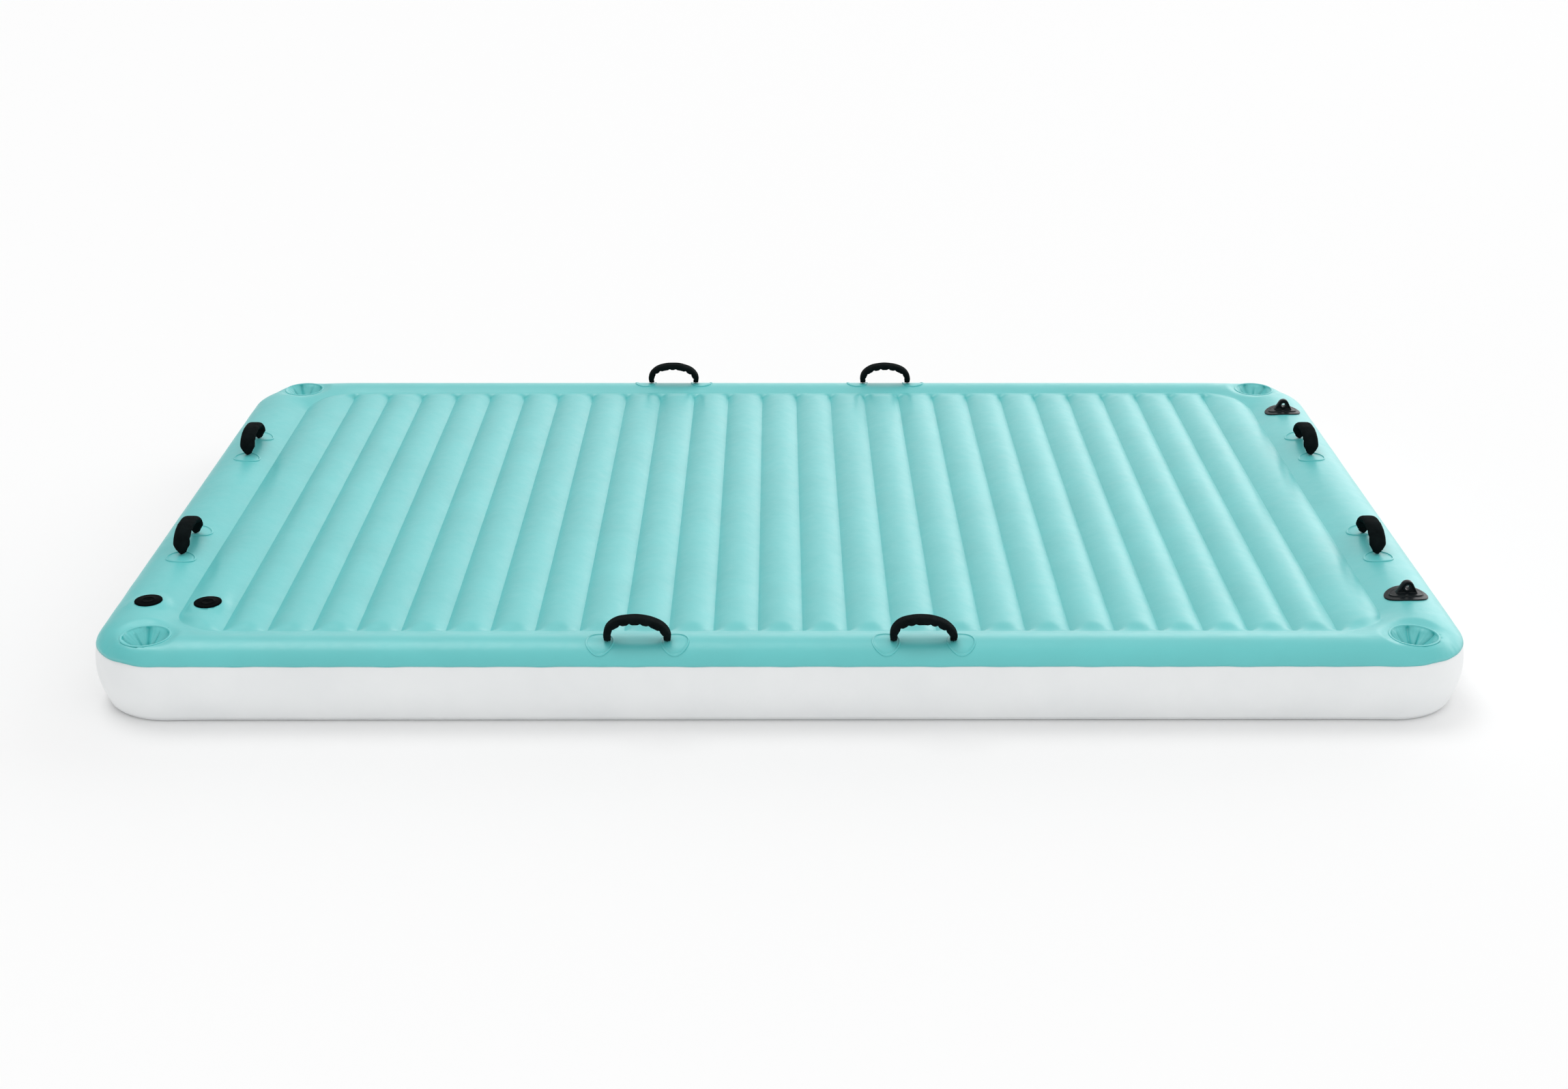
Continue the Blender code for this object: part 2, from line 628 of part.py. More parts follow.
def build_cup_pockets(deck_mesh, deck):
    """Four pockets, each a cup hung from a flange that is welded under the deck."""
    under = SKIN + SEAT_GAP
    base = TUBE_CREST - CUP_DEPTH
    top = TUBE_CREST + CUP_FILM
    knee = TUBE_CREST - CUP_STRAIGHT
    above = cutter("over_the_flanges", deck_mesh.copy())
    layer(above, -under - CUP_FILM / 2, CUP_ROOM)
    for side_y, end in ((-1, "front"), (1, "back")):
        for side_x, side in ((-1, "left"), (1, "right")):
            name = f"cup_pocket_{end}_{side}"
            place = (side_x * CUP_X, side_y * CUP_Y, 0)
            hole = disc_mesh(name + "_hole", CUP_MOUTH_RADIUS, base, top + OVERRUN, CUP_STEPS)
            boolean(deck, cutter(name + "_hole", hole, place), "DIFFERENCE")
            profile = [
                (0, base + CUP_FILM), (CUP_BASE_RADIUS, base + CUP_FILM), (CUP_MOUTH_RADIUS, knee),
                (CUP_MOUTH_RADIUS, top), (CUP_MOUTH_RADIUS + CUP_FILM, top),
                (CUP_MOUTH_RADIUS + CUP_FILM, knee), (CUP_BASE_RADIUS + CUP_FILM, base), (0, base),
            ]
            pocket = turned(name, profile, AQUA, place, CUP_STEPS)
            boolean(pocket, above, "DIFFERENCE")
            rim = disc_mesh(name + "_rim", CUP_MOUTH_RADIUS + CUP_FLANGE, base, top + OVERRUN, CUP_STEPS)
            flange = deck_layer(name + "_flange", deck_mesh, -under - CUP_FILM, -under, rim, place)
            bore_radius = CUP_MOUTH_RADIUS + CUP_FILM / 2
            bore = disc_mesh(name + "_bore", bore_radius, base - OVERRUN, top + 2 * OVERRUN, CUP_STEPS)
            boolean(flange, cutter(name + "_bore", bore, place), "DIFFERENCE")
            boolean(pocket, flange, "UNION")


def arch_places(rise):
    """Middle points and outward directions along a handle's arch, from one foot to the other."""
    first = SLEEVE_TAPER / rise
    turns = [0] + [first + (math.pi - 2 * first) * k / ARCH_STEPS for k in range(ARCH_STEPS + 1)] + [math.pi]
    places = []
    for turn in turns:
        centre = Vector((-HALF_SPAN * math.cos(turn), 0, rise * math.sin(turn)))
        outward = Vector((-rise * math.cos(turn), 0, HALF_SPAN * math.sin(turn))).normalized()
        places.append((centre, outward))
    return places


def flat_ring(centre, outward, half_width, half_thickness):
    across = Vector((0, half_width, 0))
    out = outward * half_thickness
    return [centre - across - out, centre + across - out, centre + across + out, centre - across + out]


def padded_ring(centre, outward, half_width, half_thickness):
    """Section of the padded sleeve: flat inside and outside, drawn to an edge at each side."""
    across = Vector((0, half_width - half_thickness * SLEEVE_EDGE_SHARE, 0))
    edge = Vector((0, half_width, 0))
    out = outward * half_thickness
    ring = [-edge, -across - out, across - out, edge, across + out, -across + out]
    return [centre + point for point in ring]


def strap_mesh(name, rise):
    """Flat strap bent over the arch, each end cut round about the hinge line."""
    places = arch_places(rise)
    rings = [flat_ring(centre, outward, STRAP_RADIUS, STRAP_THICKNESS / 2) for centre, outward in places]
    near_end, far_end = [], []
    for degrees in STRAP_END_TURNS:
        turn = math.radians(degrees)
        half_width = STRAP_RADIUS * math.cos(turn)
        drop = Vector((0, 0, -STRAP_RADIUS * math.sin(turn)))
        first, last = places[0], places[-1]
        near_end.append(flat_ring(first[0] + drop, first[1], half_width, STRAP_THICKNESS / 2))
        far_end.insert(0, flat_ring(last[0] + drop, last[1], half_width, STRAP_THICKNESS / 2))
    return loft(name, near_end + rings + far_end)


def sleeve_mesh(name, rise):
    """Padded sleeve over the strap, drawn in at its two mouths."""
    places = arch_places(rise)
    widths = [SLEEVE_END_WIDTH] + [SLEEVE_WIDTH] * (len(places) - 2) + [SLEEVE_END_WIDTH]
    drop = Vector((0, 0, -SLEEVE_START))
    places[0] = (places[0][0] + drop, places[0][1])
    places[-1] = (places[-1][0] + drop, places[-1][1])
    rings = [padded_ring(centre, outward, width / 2, SLEEVE_THICKNESS / 2)
             for (centre, outward), width in zip(places, widths)]
    return loft(name, rings)


def slot_mesh(name, rise):
    """Room for the strap inside its sleeve, run out past both mouths."""
    places = arch_places(rise)
    drop = Vector((0, 0, -SLEEVE_START - OVERRUN))
    places.insert(0, (places[0][0] + drop, places[0][1]))
    places.append((places[-1][0] + drop, places[-1][1]))
    half_width, half_thickness = STRAP_RADIUS + SLOT_GAP, STRAP_THICKNESS / 2 + SLOT_GAP
    return loft(name, [flat_ring(centre, outward, half_width, half_thickness) for centre, outward in places])


def handle_sites():
    """Name, middle of the feet in plan, and turn about Z of each of the eight handles."""
    sites = []
    for side_y, end in ((-1, "front"), (1, "back")):
        for side_x, side in ((-1, "left"), (1, "right")):
            end_y = side_y * (END_TUBE_Y + HANDLE_END_OUTSET)
            side_place = side_x * (SIDE_TUBE_X - HANDLE_SIDE_INSET)
            sites.append((f"{end}_{side}", side_x * HANDLE_END_X, end_y, 0))
            sites.append((f"{side}_{end}", side_place, side_y * HANDLE_SIDE_Y, math.pi / 2))
    return sites


def build_handles(deck_mesh):
    """Eight padded webbing handles, each swinging about the line through its two feet."""
    seat = STRAP_RADIUS + PATCH_FILM + 2 * SEAT_GAP
    for name, x, y, turn in handle_sites():
        hinge = seat_height(x, y, seat)
        rise = deck_height(x, y) + HANDLE_HEIGHT - hinge - SLEEVE_THICKNESS / 2
        place = Vector((x, y, hinge))
        strap = piece(f"handle_strap_{name}", strap_mesh("strap", rise), BLACK_WEBBING, place)
        sleeve = piece(f"handle_sleeve_{name}", sleeve_mesh("sleeve", rise), BLACK_SLEEVE, place)
        slot = cutter(f"handle_slot_{name}", slot_mesh("slot", rise), place)
        boolean(sleeve, slot, "DIFFERENCE")
        for thing in (strap, sleeve, slot):
            thing.rotation_euler.z = turn
        for side, foot in ((-1, "a"), (1, "b")):
            along = side * (HALF_SPAN + PATCH_OFFSET)
            middle = (x + along * math.cos(turn), y + along * math.sin(turn), 0)
            outline = oval_mesh("oval", PATCH_WIDTH, PATCH_LENGTH, UPPER_SEAM, TUBE_CREST + OVERRUN, PATCH_STEPS)
            oval = cutter(f"patch_outline_{name}_{foot}", outline, middle)
            oval.rotation_euler.z = turn
            patch = piece(f"handle_patch_{name}_{foot}", deck_mesh.copy(), AQUA)
            layer(patch, SEAT_GAP, SEAT_GAP + PATCH_FILM)
            boolean(patch, oval, "INTERSECT")


def fin_outline(half_span, foot, nose_radius, nose_height):
    """Rounded triangle in X and Z: two straight flanks that meet a round nose."""
    reach = math.hypot(half_span, nose_height - foot)
    tilt = math.atan2(foot - nose_height, half_span) + math.acos(nose_radius / reach)
    points = [(half_span, foot)]
    for k in range(LUG_NOSE_STEPS + 1):
        turn = tilt + (math.pi - 2 * tilt) * k / LUG_NOSE_STEPS
        points.append((nose_radius * math.cos(turn), nose_height + nose_radius * math.sin(turn)))
    return points + [(-half_span, foot)], tilt


def plate_mesh(name, outline, low, high):
    """Upright plate with this outline in X and Z, between two places along Y."""
    return loft(name, [[(x, y, z) for x, z in outline] for y in (low, high)])


def build_lugs(deck_mesh):
    """Two moulded rope lugs: an oval foot, and a hooded fin with a boss and an eye for the rope."""
    nose_height = LUG_FIN_HEIGHT - LUG_FIN_NOSE
    half_span = LUG_FIN_SPAN / 2
    fin, tilt = fin_outline(half_span, LUG_BASE / 2, LUG_FIN_NOSE, nose_height)
    inner_nose = LUG_FIN_NOSE - LUG_RIM
    inner_foot = LUG_STEP + LUG_RIM / 2
    inner_rise = nose_height + inner_nose * math.sin(tilt) - inner_foot
    inner_span = inner_nose * math.cos(tilt) + inner_rise * math.tan(tilt)
    hollow, _ = fin_outline(inner_span, inner_foot, inner_nose, nose_height)
    half = LUG_FIN_THICKNESS / 2
    floor = half - LUG_RECESS
    for side, end in ((-1, "front"), (1, "back")):
        name = f"rope_lug_{end}"
        place = Vector((SIDE_TUBE_X, side * LUG_Y, TUBE_CREST))
        plan = (place.x, place.y, 0)
        lug = piece(name, deck_mesh.copy(), BLACK_RUBBER)
        layer(lug, SEAT_GAP, SEAT_GAP + LUG_BASE)
        foot = oval_mesh("foot", LUG_LENGTH, LUG_WIDTH, UPPER_SEAM, TUBE_CREST + OVERRUN, LUG_STEPS)
        boolean(lug, cutter(name + "_foot", foot, plan), "INTERSECT")
        oval = oval_mesh("step", LUG_STEP_LENGTH, LUG_STEP_WIDTH, UPPER_SEAM, TUBE_CREST + OVERRUN, LUG_STEPS)
        step = deck_layer(name + "_step", deck_mesh, SEAT_GAP + LUG_BASE / 2, LUG_STEP, oval, plan)
        boolean(lug, step, "UNION")
        boolean(lug, cutter(name + "_fin", plate_mesh("fin", fin, -half, half), place), "UNION")
        for face in (-1, 1):
            near, far = sorted((face * floor, face * (half + OVERRUN)))
            room = cutter(f"{name}_hollow_{face}", plate_mesh("hollow", hollow, near, far), place)
            boolean(lug, room, "DIFFERENCE")
        reach = floor + LUG_BOSS_PROUD
        boss = disc_mesh("boss", LUG_BOSS_RADIUS, -reach, reach, SMALL_STEPS)
        eye = disc_mesh("eye", LUG_EYE_RADIUS, -half - OVERRUN, half + OVERRUN, SMALL_STEPS)
        for shape, mesh, operation in (("boss", boss, "UNION"), ("eye", eye, "DIFFERENCE")):
            mesh.transform(Matrix.Rotation(math.pi / 2, 4, "X"))
            middle = place + Vector((0, 0, LUG_EYE_HEIGHT))
            boolean(lug, cutter(f"{name}_{shape}", mesh, middle), operation)


def build_valve(name, deck_mesh, deck, place):
    """Filling valve: a welded base, a screwed insert on its gasket, a check flap, and a tethered cap."""
    plan = (place[0], place[1], 0)
    low, high = place[2] - SKIN_ROOM * 2, place[2] + OVERRUN
    hole = disc_mesh("hole", VALVE_NECK_RADIUS + SEAT_GAP, low, high)
    boolean(deck, cutter(name + "_hole", hole, plan), "DIFFERENCE")

    base = turned(f"{name}_base", [
        (VALVE_RADIUS, VALVE_TOP), (VALVE_RADIUS, -VALVE_SINK), (VALVE_NECK_RADIUS, -VALVE_SINK),
        (VALVE_NECK_RADIUS, -VALVE_NECK), (VALVE_BORE_RADIUS, -VALVE_NECK), (VALVE_BORE_RADIUS, -VALVE_WELL),
        (VALVE_WELL_RADIUS, -VALVE_WELL), (VALVE_WELL_RADIUS, VALVE_LEDGE), (VALVE_LEDGE_RADIUS, VALVE_LEDGE),
        (VALVE_LEDGE_RADIUS, VALVE_TOP),
    ], BLACK_PLASTIC, place)
    around = disc_mesh("around", VALVE_RADIUS + OVERRUN / 2, low, high)
    room = deck_layer(name + "_skin_room", deck_mesh, -SKIN_ROOM, SEAT_GAP, around, plan)
    neck = disc_mesh("neck", VALVE_NECK_RADIUS - VALVE_GROOVE, low - OVERRUN, high + OVERRUN)
    boolean(room, cutter(name + "_neck", neck, plan), "DIFFERENCE")
    boolean(base, room, "DIFFERENCE")

    gasket_low = -VALVE_WELL + SEAT_GAP
    gasket_top = gasket_low + GASKET_THICKNESS
    turned(f"{name}_gasket", [
        (GASKET_RADIUS, gasket_top), (GASKET_RADIUS, gasket_low),
        (GASKET_INNER_RADIUS, gasket_low), (GASKET_INNER_RADIUS, gasket_top),
    ], SEAL, place, INNER_STEPS)

    flange_low = gasket_top + SEAT_GAP
    flange_top = flange_low + INSERT_FLANGE
    floor_low = flange_low - INSERT_DEPTH
    floor_top = floor_low + INSERT_FLOOR
    insert = turned(f"{name}_insert", [
        (INSERT_FLANGE_RADIUS, flange_top), (INSERT_FLANGE_RADIUS, flange_low), (INSERT_RADIUS, flange_low),
        (INSERT_RADIUS, floor_low), (STEM_HOLE_RADIUS, floor_low), (STEM_HOLE_RADIUS, floor_top),
        (INSERT_BORE_RADIUS, floor_top), (INSERT_BORE_RADIUS, flange_top),
    ], BLACK_PLASTIC, place, INNER_STEPS)
    for vent in range(VENT_COUNT):
        turn = 2 * math.pi * vent / VENT_COUNT
        drill = disc_mesh("vent", VENT_RADIUS, floor_low - INSERT_FLOOR, floor_top + INSERT_FLOOR, VENT_STEPS)
        across = Vector((VENT_PLACE * math.cos(turn), VENT_PLACE * math.sin(turn), 0))
        boolean(insert, cutter(f"{name}_vent_{vent + 1}", drill, Vector(place) + across), "DIFFERENCE")

    flap_top = floor_low - SEAT_GAP
    stem_top = floor_top + FLAP_STEM
    turned(f"{name}_check_flap", [
        (0, stem_top), (FLAP_STEM_RADIUS, stem_top), (FLAP_STEM_RADIUS, flap_top), (FLAP_RADIUS, flap_top),
        (FLAP_RADIUS, flap_top - FLAP_THICKNESS), (0, flap_top - FLAP_THICKNESS),
    ], SEAL, place, SMALL_STEPS)

    ring_low = flange_top + SEAT_GAP
    ring_top = ring_low + TETHER_THICKNESS
    turned(f"{name}_tether_ring", [
        (TETHER_RADIUS, ring_top), (TETHER_RADIUS, ring_low),
        (TETHER_INNER_RADIUS, ring_low), (TETHER_INNER_RADIUS, ring_top),
    ], BLACK_PLASTIC, place, INNER_STEPS)

    under = VALVE_LEDGE + SEAT_GAP
    top = under + CAP_THICKNESS
    inner, outer = CAP_RING_RADIUS - CAP_RING_WIDTH / 2, CAP_RING_RADIUS + CAP_RING_WIDTH / 2
    turned(f"{name}_cap", [
        (0, top - CAP_DIMPLE), (CAP_DIMPLE_RADIUS, top), (inner, top), (inner, top + CAP_RING),
        (outer, top + CAP_RING), (outer, top), (CAP_RADIUS, top), (CAP_RADIUS, under),
        (CAP_PLUG_RADIUS, under), (CAP_PLUG_RADIUS, under - CAP_PLUG), (0, under - CAP_PLUG),
    ], BLACK_PLASTIC, place)


def main():
    deck_mesh, deck, bottom = build_skins()
    build_webs(bottom)
    build_cup_pockets(deck_mesh, deck)
    build_handles(deck_mesh)
    build_lugs(deck_mesh)
    build_valve("tube_valve", deck_mesh, deck, (-SIDE_TUBE_X, -VALVE_Y, TUBE_CREST))
    build_valve("rib_valve", deck_mesh, deck, (-END_RIB_X, -VALVE_Y, DECK_VALLEY + RIB_RISE))


clear_scene()
RAFT = collection("inflatable_raft")
CUTTERS = collection("cutters")
main()
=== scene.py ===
"""Inflatable raft dressed for its photo: ribbed deck, side wall, bottom, pockets, handles, lugs, valves.

Metres, +Z up, +X along the raft, front long edge towards -Y, the raft resting on Z = 0.
"""
import math

import bmesh
import bpy
import numpy as np
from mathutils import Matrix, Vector


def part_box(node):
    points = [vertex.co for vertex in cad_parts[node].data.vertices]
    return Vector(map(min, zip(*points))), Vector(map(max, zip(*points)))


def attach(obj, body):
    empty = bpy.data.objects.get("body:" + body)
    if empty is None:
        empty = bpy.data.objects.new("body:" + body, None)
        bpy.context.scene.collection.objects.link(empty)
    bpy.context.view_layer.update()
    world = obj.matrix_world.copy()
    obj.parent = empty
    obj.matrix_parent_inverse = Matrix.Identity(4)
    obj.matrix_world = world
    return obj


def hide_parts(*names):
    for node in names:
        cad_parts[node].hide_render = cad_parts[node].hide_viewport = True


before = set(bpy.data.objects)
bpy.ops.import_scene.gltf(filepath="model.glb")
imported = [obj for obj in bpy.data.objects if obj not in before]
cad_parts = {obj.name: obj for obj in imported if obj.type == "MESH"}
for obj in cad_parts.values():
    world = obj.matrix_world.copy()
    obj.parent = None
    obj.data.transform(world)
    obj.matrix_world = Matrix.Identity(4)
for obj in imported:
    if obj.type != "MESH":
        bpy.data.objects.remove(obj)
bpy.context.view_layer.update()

MM = 0.001
TURN = 2 * math.pi
WELD = 0.01 * MM                # points nearer than this are one
SLIVER = WELD / 10              # an edge shorter than this is closed up
TINY = 1e-9                     # a share smaller than this counts as none
SLOPE_STEP = 0.5 * MM           # over which the deck's slope is measured

# Skins
RAFT_LENGTH = 3.10
RAFT_DEPTH = 1.89
SKIN = 0.75 * MM
LAP_STEP = 1.3 * MM             # one film's step over the next at a lap
RIB_COUNT = 27
RIB_PITCH = 100.5 * MM
END_RIB_WIDTH = 120.5 * MM
PANEL_DEPTH = 1.646
PANEL_CORNER = 130 * MM         # plan radius of the ribbed panel's corners
DECK_VALLEY = 163 * MM          # height of the grooves
RIB_RISE = 17.5 * MM
RIB_END_LENGTH = 65 * MM        # over which a rib closes at its end
GROOVE_END_LENGTH = 50 * MM     # over which a groove fades at its end
EDGE_RISE = 12 * MM             # the deck's height over its grooves where the ribs' ends meet the tube
CREST_FADE = 42 * MM            # over which a rib's crest comes down to it
GROOVE_FADE = 14 * MM           # over which a groove comes up to it
TUBE_CREST = 185 * MM
UPPER_SEAM = 143 * MM
SEAM_CORNER = 170 * MM
CREST_SHARE = 0.45              # crest's place between the panel's edge and the seam
LAST_TURN = math.radians(80)    # how far the outer crown turns down from the crest
LOWER_SEAM = 14 * MM
WALL_INSET = 12 * MM
WALL_SAG = 12 * MM
WALL_TUCK_TURNS = (66, 71, 76)  # turns of the crown that the wall's top edge follows from inside, in degrees
WALL_TUCK = 0.5 * MM            # its extra room under the deck there
LAP_SHARE = 0.9                 # where the wall starts to lap over the bottom
WALL_FOOT = 8.5 * MM            # height of the wall's lower edge
WALL_OVERLAP = 1.6 * MM         # the wall's face outside the bottom's face
BOTTOM_VALLEY = 16.5 * MM
FLOOR_TURN = 14 * MM
FLOOR_STRIP = 30 * MM
WEB_FILM = 0.9 * MM
WEB_FLANGE = 12 * MM
WEB_TOP = 161.2 * MM
WEB_FOOT = 16.9 * MM
CHAMBER_FOOT = 18.3 * MM

# Cup pockets
CUP_X = 1.413
CUP_Y = 0.852
CUP_MOUTH = 51.5 * MM
CUP_FILM = 0.9 * MM
CUP_STEPS = 192
CUP_SINK = 8 * MM               # a level mouth's depth under the tube's crest
CUP_LEVEL = 53 * MM             # the deck is level this far round a mouth
CUP_FADE = 83 * MM              # and has its own shape again from here

# Grab handles
HALF_SPAN = 66 * MM             # from a handle's middle to each foot
STRAP_WIDTH = 25 * MM
STRAP_THICKNESS = 2 * MM
SLEEVE_START = 2 * MM           # the sleeve's full section ends this far below the hinge line
SLEEVE_FOOT = 11.2 * MM         # its foot goes on as a half circle of this radius round the hinge line
PATCH_ACROSS = 36 * MM          # half the patch's length, across the handle
PATCH_ALONG = 32 * MM
PATCH_PLACE = 83 * MM           # from the handle's middle to a patch's

# Rope lugs
LUG_Y = 643 * MM
LUG_HALF_LENGTH = 50 * MM
LUG_HALF_WIDTH = 41 * MM
LUG_STEP_HALF_LENGTH = 39 * MM
LUG_STEP_HALF_WIDTH = 24 * MM
LUG_STEP_RISE = 2 * MM
LUG_BEAD = 0.5 * MM
FIN_HALF_SPAN = 28 * MM         # at the fin's foot, inside the base
FIN_HEIGHT = 33 * MM
FIN_NOSE = 14.5 * MM            # radius over the fin's top
FIN_RIM = 4 * MM
BOSS_RADIUS = 10 * MM
EYE_RADIUS = 5.5 * MM
EYE_HEIGHT = 16.5 * MM

# Filling valves
VALVE_Y = 681 * MM
VALVE_HOLE = 24.8 * MM
VALVE_LEVEL = 32 * MM           # the deck is level this far round a valve
VALVE_FADE = 55 * MM            # and has its own shape again from here

# Worked out from them
WALL_HEIGHT = UPPER_SEAM - LOWER_SEAM
BULGE_SHARE = 0.5 - WALL_INSET / (8 * WALL_SAG)
WALL_BULGE = 4 * WALL_SAG * BULGE_SHARE * (1 - BULGE_SHARE) - WALL_INSET * BULGE_SHARE - LAP_STEP
RIB_EDGE = (RIB_COUNT - 2) * RIB_PITCH / 2
PANEL_HALF_LENGTH = RIB_EDGE + END_RIB_WIDTH
PANEL_HALF_DEPTH = PANEL_DEPTH / 2
PANEL_ARC_X = PANEL_HALF_LENGTH - PANEL_CORNER
PANEL_ARC_Y = PANEL_HALF_DEPTH - PANEL_CORNER
SEAM_HALF_LENGTH = RAFT_LENGTH / 2 - WALL_BULGE
SEAM_HALF_DEPTH = RAFT_DEPTH / 2 - WALL_BULGE
SEAM_ARC_X = SEAM_HALF_LENGTH - SEAM_CORNER
SEAM_ARC_Y = SEAM_HALF_DEPTH - SEAM_CORNER
CROWN_DROP = (TUBE_CREST - UPPER_SEAM) / (1 - math.cos(LAST_TURN))
SIDE_TUBE_X = PANEL_HALF_LENGTH + CREST_SHARE * (SEAM_HALF_LENGTH - PANEL_HALF_LENGTH)
END_RIB_X = PANEL_HALF_LENGTH - END_RIB_WIDTH / 2
RIB_TOP = DECK_VALLEY + RIB_RISE

# Fineness of the skins
RIB_STEPS = 10
CORNER_STEPS = 72
END_ROWS = 15
MIDDLE_SHARES = (0.15, 0.4, 0.6, 0.78, 0.86, 0.885, 0.91, 0.935, 0.96, 0.98)
CROWN_STEPS = 22

# Unevenness of the films
SEAM_WAVES = (  # radians a metre, Y's part beside X, radians at the middle, strength
    (36.3, 1.0, 1.3, 1.0), (56.6, -1.0, 0.4, 0.8), (93.8, 0.6, 0.0, 0.6))
SEAM_WAVE = 0.35 * MM
SEAM_WAVE_REACH = 25 * MM
PUCKER_LENGTH = 16 * MM
PUCKER_DEPTH = 1.8 * MM
PUCKER_FOOT = 6 * MM
PUCKER_REACH = 28 * MM
PUCKER_FADE_SHARE = 0.25        # of a corner's turn, over which the gathers set in at each end
PUCKER_DRIFT = 1.7              # radians by which their spacing drifts
PUCKER_DRIFT_LENGTH = 5 * PUCKER_LENGTH

# Fineness and section of the foot and the bottom
WALL_STEPS = 14
FOOT_STEPS = 10
FOOT_POWER = 9.0
OVERLAP_SHARE = 0.5             # of the foot's rounding, over which the wall's overlap comes in
BOTTOM_SLOPE_STEPS = 9
BOTTOM_RIB_STEPS = 8
BOTTOM_CORNER_STEPS = 40
BOTTOM_END_ROWS = 9
BOTTOM_SHARES = (0.25, 0.75)

# Sections, in millimetres
COLLAR = (      # reach outside the mouth, lift
    (4.8, -0.4), (4.8, 0.7), (4.4, 1.3), (3.4, 1.6), (1.8, 1.6), (0.6, 1.3), (0.0, 0.6), (-0.25, -0.4))
FUNNEL = (      # depth, reach, depth of the folds
    (0.6, 51.2, 0.0), (3.0, 50.2, 0.5), (10.0, 45.0, 3.6), (20.0, 33.5, 7.0), (30.0, 21.0, 7.5),
    (42.0, 12.0, 6.0), (60.0, 12.0, 5.0), (80.0, 24.0, 4.0), (96.0, 34.0, 1.0))
CHORD_SHARE = 0.85              # how far a pocket's round section goes towards straight sides
ZIGZAG_SHARE = 0.13             # how far its corners go out and in by turns
RIM_STEPS = 8
FUNNEL_STEPS = 30
FLOOR_SHARES = (0.9, 0.6, 0.3, 0.0)
FUNNEL_FLAT = 8 * MM
FLOOR_SAG = 0.8 * MM
FOLD_WIDTH = 2.2 * MM
PLEAT = 0.35 * MM
PLEAT_COUNT = 34
PLEAT_DRIFT = 2                 # radians by which the pleats' spacing drifts
PLEAT_DRIFT_COUNT = 3
PATCH_EDGE = (  # inset, lift
    (0.0, -0.3), (0.0, 1.3), (0.3, 1.9), (1.0, 2.2), (2.8, 2.2), (3.6, 1.4), (4.2, 0.25), (6.0, 0.15),
    (6.6, 0.4), (7.4, 0.5), (10.0, 0.5))
PATCH_STEPS = 96
PATCH_RINGS = 9
ARCH_POINTS = 2000
SLEEVE_ROWS = 110
SLEEVE_COLUMNS = 56
SLEEVE_WIDTHS = ((-2.0, 13.2), (0.0, 14.3), (5.0, 17.2), (9.6, 19.9), (14.0, 20.2))   # height, half width
FOOT_SHARES = (0.995, 0.95, 0.87, 0.75, 0.6, 0.42, 0.3)     # depths of a foot's rows, of its radius
START_SHARES = (1, 0.67, 0.33)  # depths of the rows between a foot and the hinge line
SLEEVE_END_SHARE = 0.86         # of the thickness, left at a foot
SIDE_POWER = 5                  # the section's sharpness at its sides
FACE_POWER = 0.8                # and the flatness of its faces
SLEEVE_HALF = 8.6 * MM          # half the padded thickness, fuller than the plain solid
SLEEVE_SWELL = 14 * MM
SLEEVE_GIRTH = 95 * MM
SCALLOPS = 8
SCALLOP_DEPTH = 3.0 * MM
SCALLOP_FROM_SHARE = 0.7        # of the section's half thickness, from which the folds set in
SCALLOP_WIDTH_SHARE = 0.019     # of the sleeve's length
SCALLOP_DRIFT_SHARE = 0.22      # of the folds' spacing, by which each may stray
SCALLOP_DEPTH_SHARES = (0.7, 1.25)
SCALLOP_PULL_SHARE = 0.04       # of the width, drawn in by a fold
LUMP = 0.6 * MM
LUMP_RATES = (1.5, 2.6, 4.3, 6.1)       # waves along a sleeve
MOUTH = ((0.6, 0.96, -0.03), (0.0, 0.9, -0.05))     # closes a foot: shares of thickness and width, height
SEED_SCALE = 1000
STRAP_ROWS = 60
TAB_STEPS = 9
STRAP_SECTION = (   # shares of half the width and of half the thickness
    (-1, 0), (-0.97, 0.7), (-0.9, 1), (0, 1), (0.9, 1), (0.97, 0.7), (1, 0),
    (0.97, -0.7), (0.9, -1), (0, -1), (-0.9, -1), (-0.97, -0.7), (-1, 0))
LUG_EDGE = ((0.0, -0.4), (0.0, 1.7), (0.35, 2.5), (1.0, 2.92), (2.0, 3.0))
LUG_EDGE_CLEAR = 1 * MM
LUG_STEP_EDGE_SHARE = 1.03      # of the step's outline, where it starts to rise
LUG_STEP_FADE_SHARE = 0.06
LUG_BEAD_SHARE = 0.97
LUG_BEAD_WIDTH_SHARE = 0.035
LUG_RINGS = 56
LUG_STEPS = 144
FIN_FOOT = -3 * MM
HOLLOW_HALF_SPAN = 20 * MM
HOLLOW_FOOT = 7 * MM
HOLLOW_CLEAR = 1.2 * MM         # from the boss to the hollow's edge
HOOD_TURN_STEPS = 60
HOOD_SIDE_STEPS = 40
FIN_STEPS = 180
FIN_SPLAY_SHARE = 0.25
FIN_SPLAY_TOP = 9 * MM
FIN_SECTION = (     # loop a row starts from, share of the way to the next, outwards, from the middle
    (0, 0.0, 0.0, 0.0), (0, 0.0, 0.0, 5.4), (0, 0.0, -0.45, 6.4), (0, 0.0, -1.5, 7.0), (1, 0.0, 1.3, 7.0),
    (1, 0.0, 0.4, 6.7), (1, 0.0, 0.0, 5.9), (1, 0.0, 0.0, 2.8), (1, 0.0, -0.5, 2.15), (1, 0.5, 0.0, 2.0),
    (2, 0.0, 0.6, 2.1), (2, 0.0, 0.0, 2.7), (2, 0.0, 0.0, 4.8), (2, 0.0, -0.6, 5.45), (2, 0.5, 0.0, 5.5),
    (3, 0.0, 0.6, 5.45), (3, 0.0, 0.0, 4.8), (3, 0.0, 0.0, 0.0))
VALVE_STEPS = 192
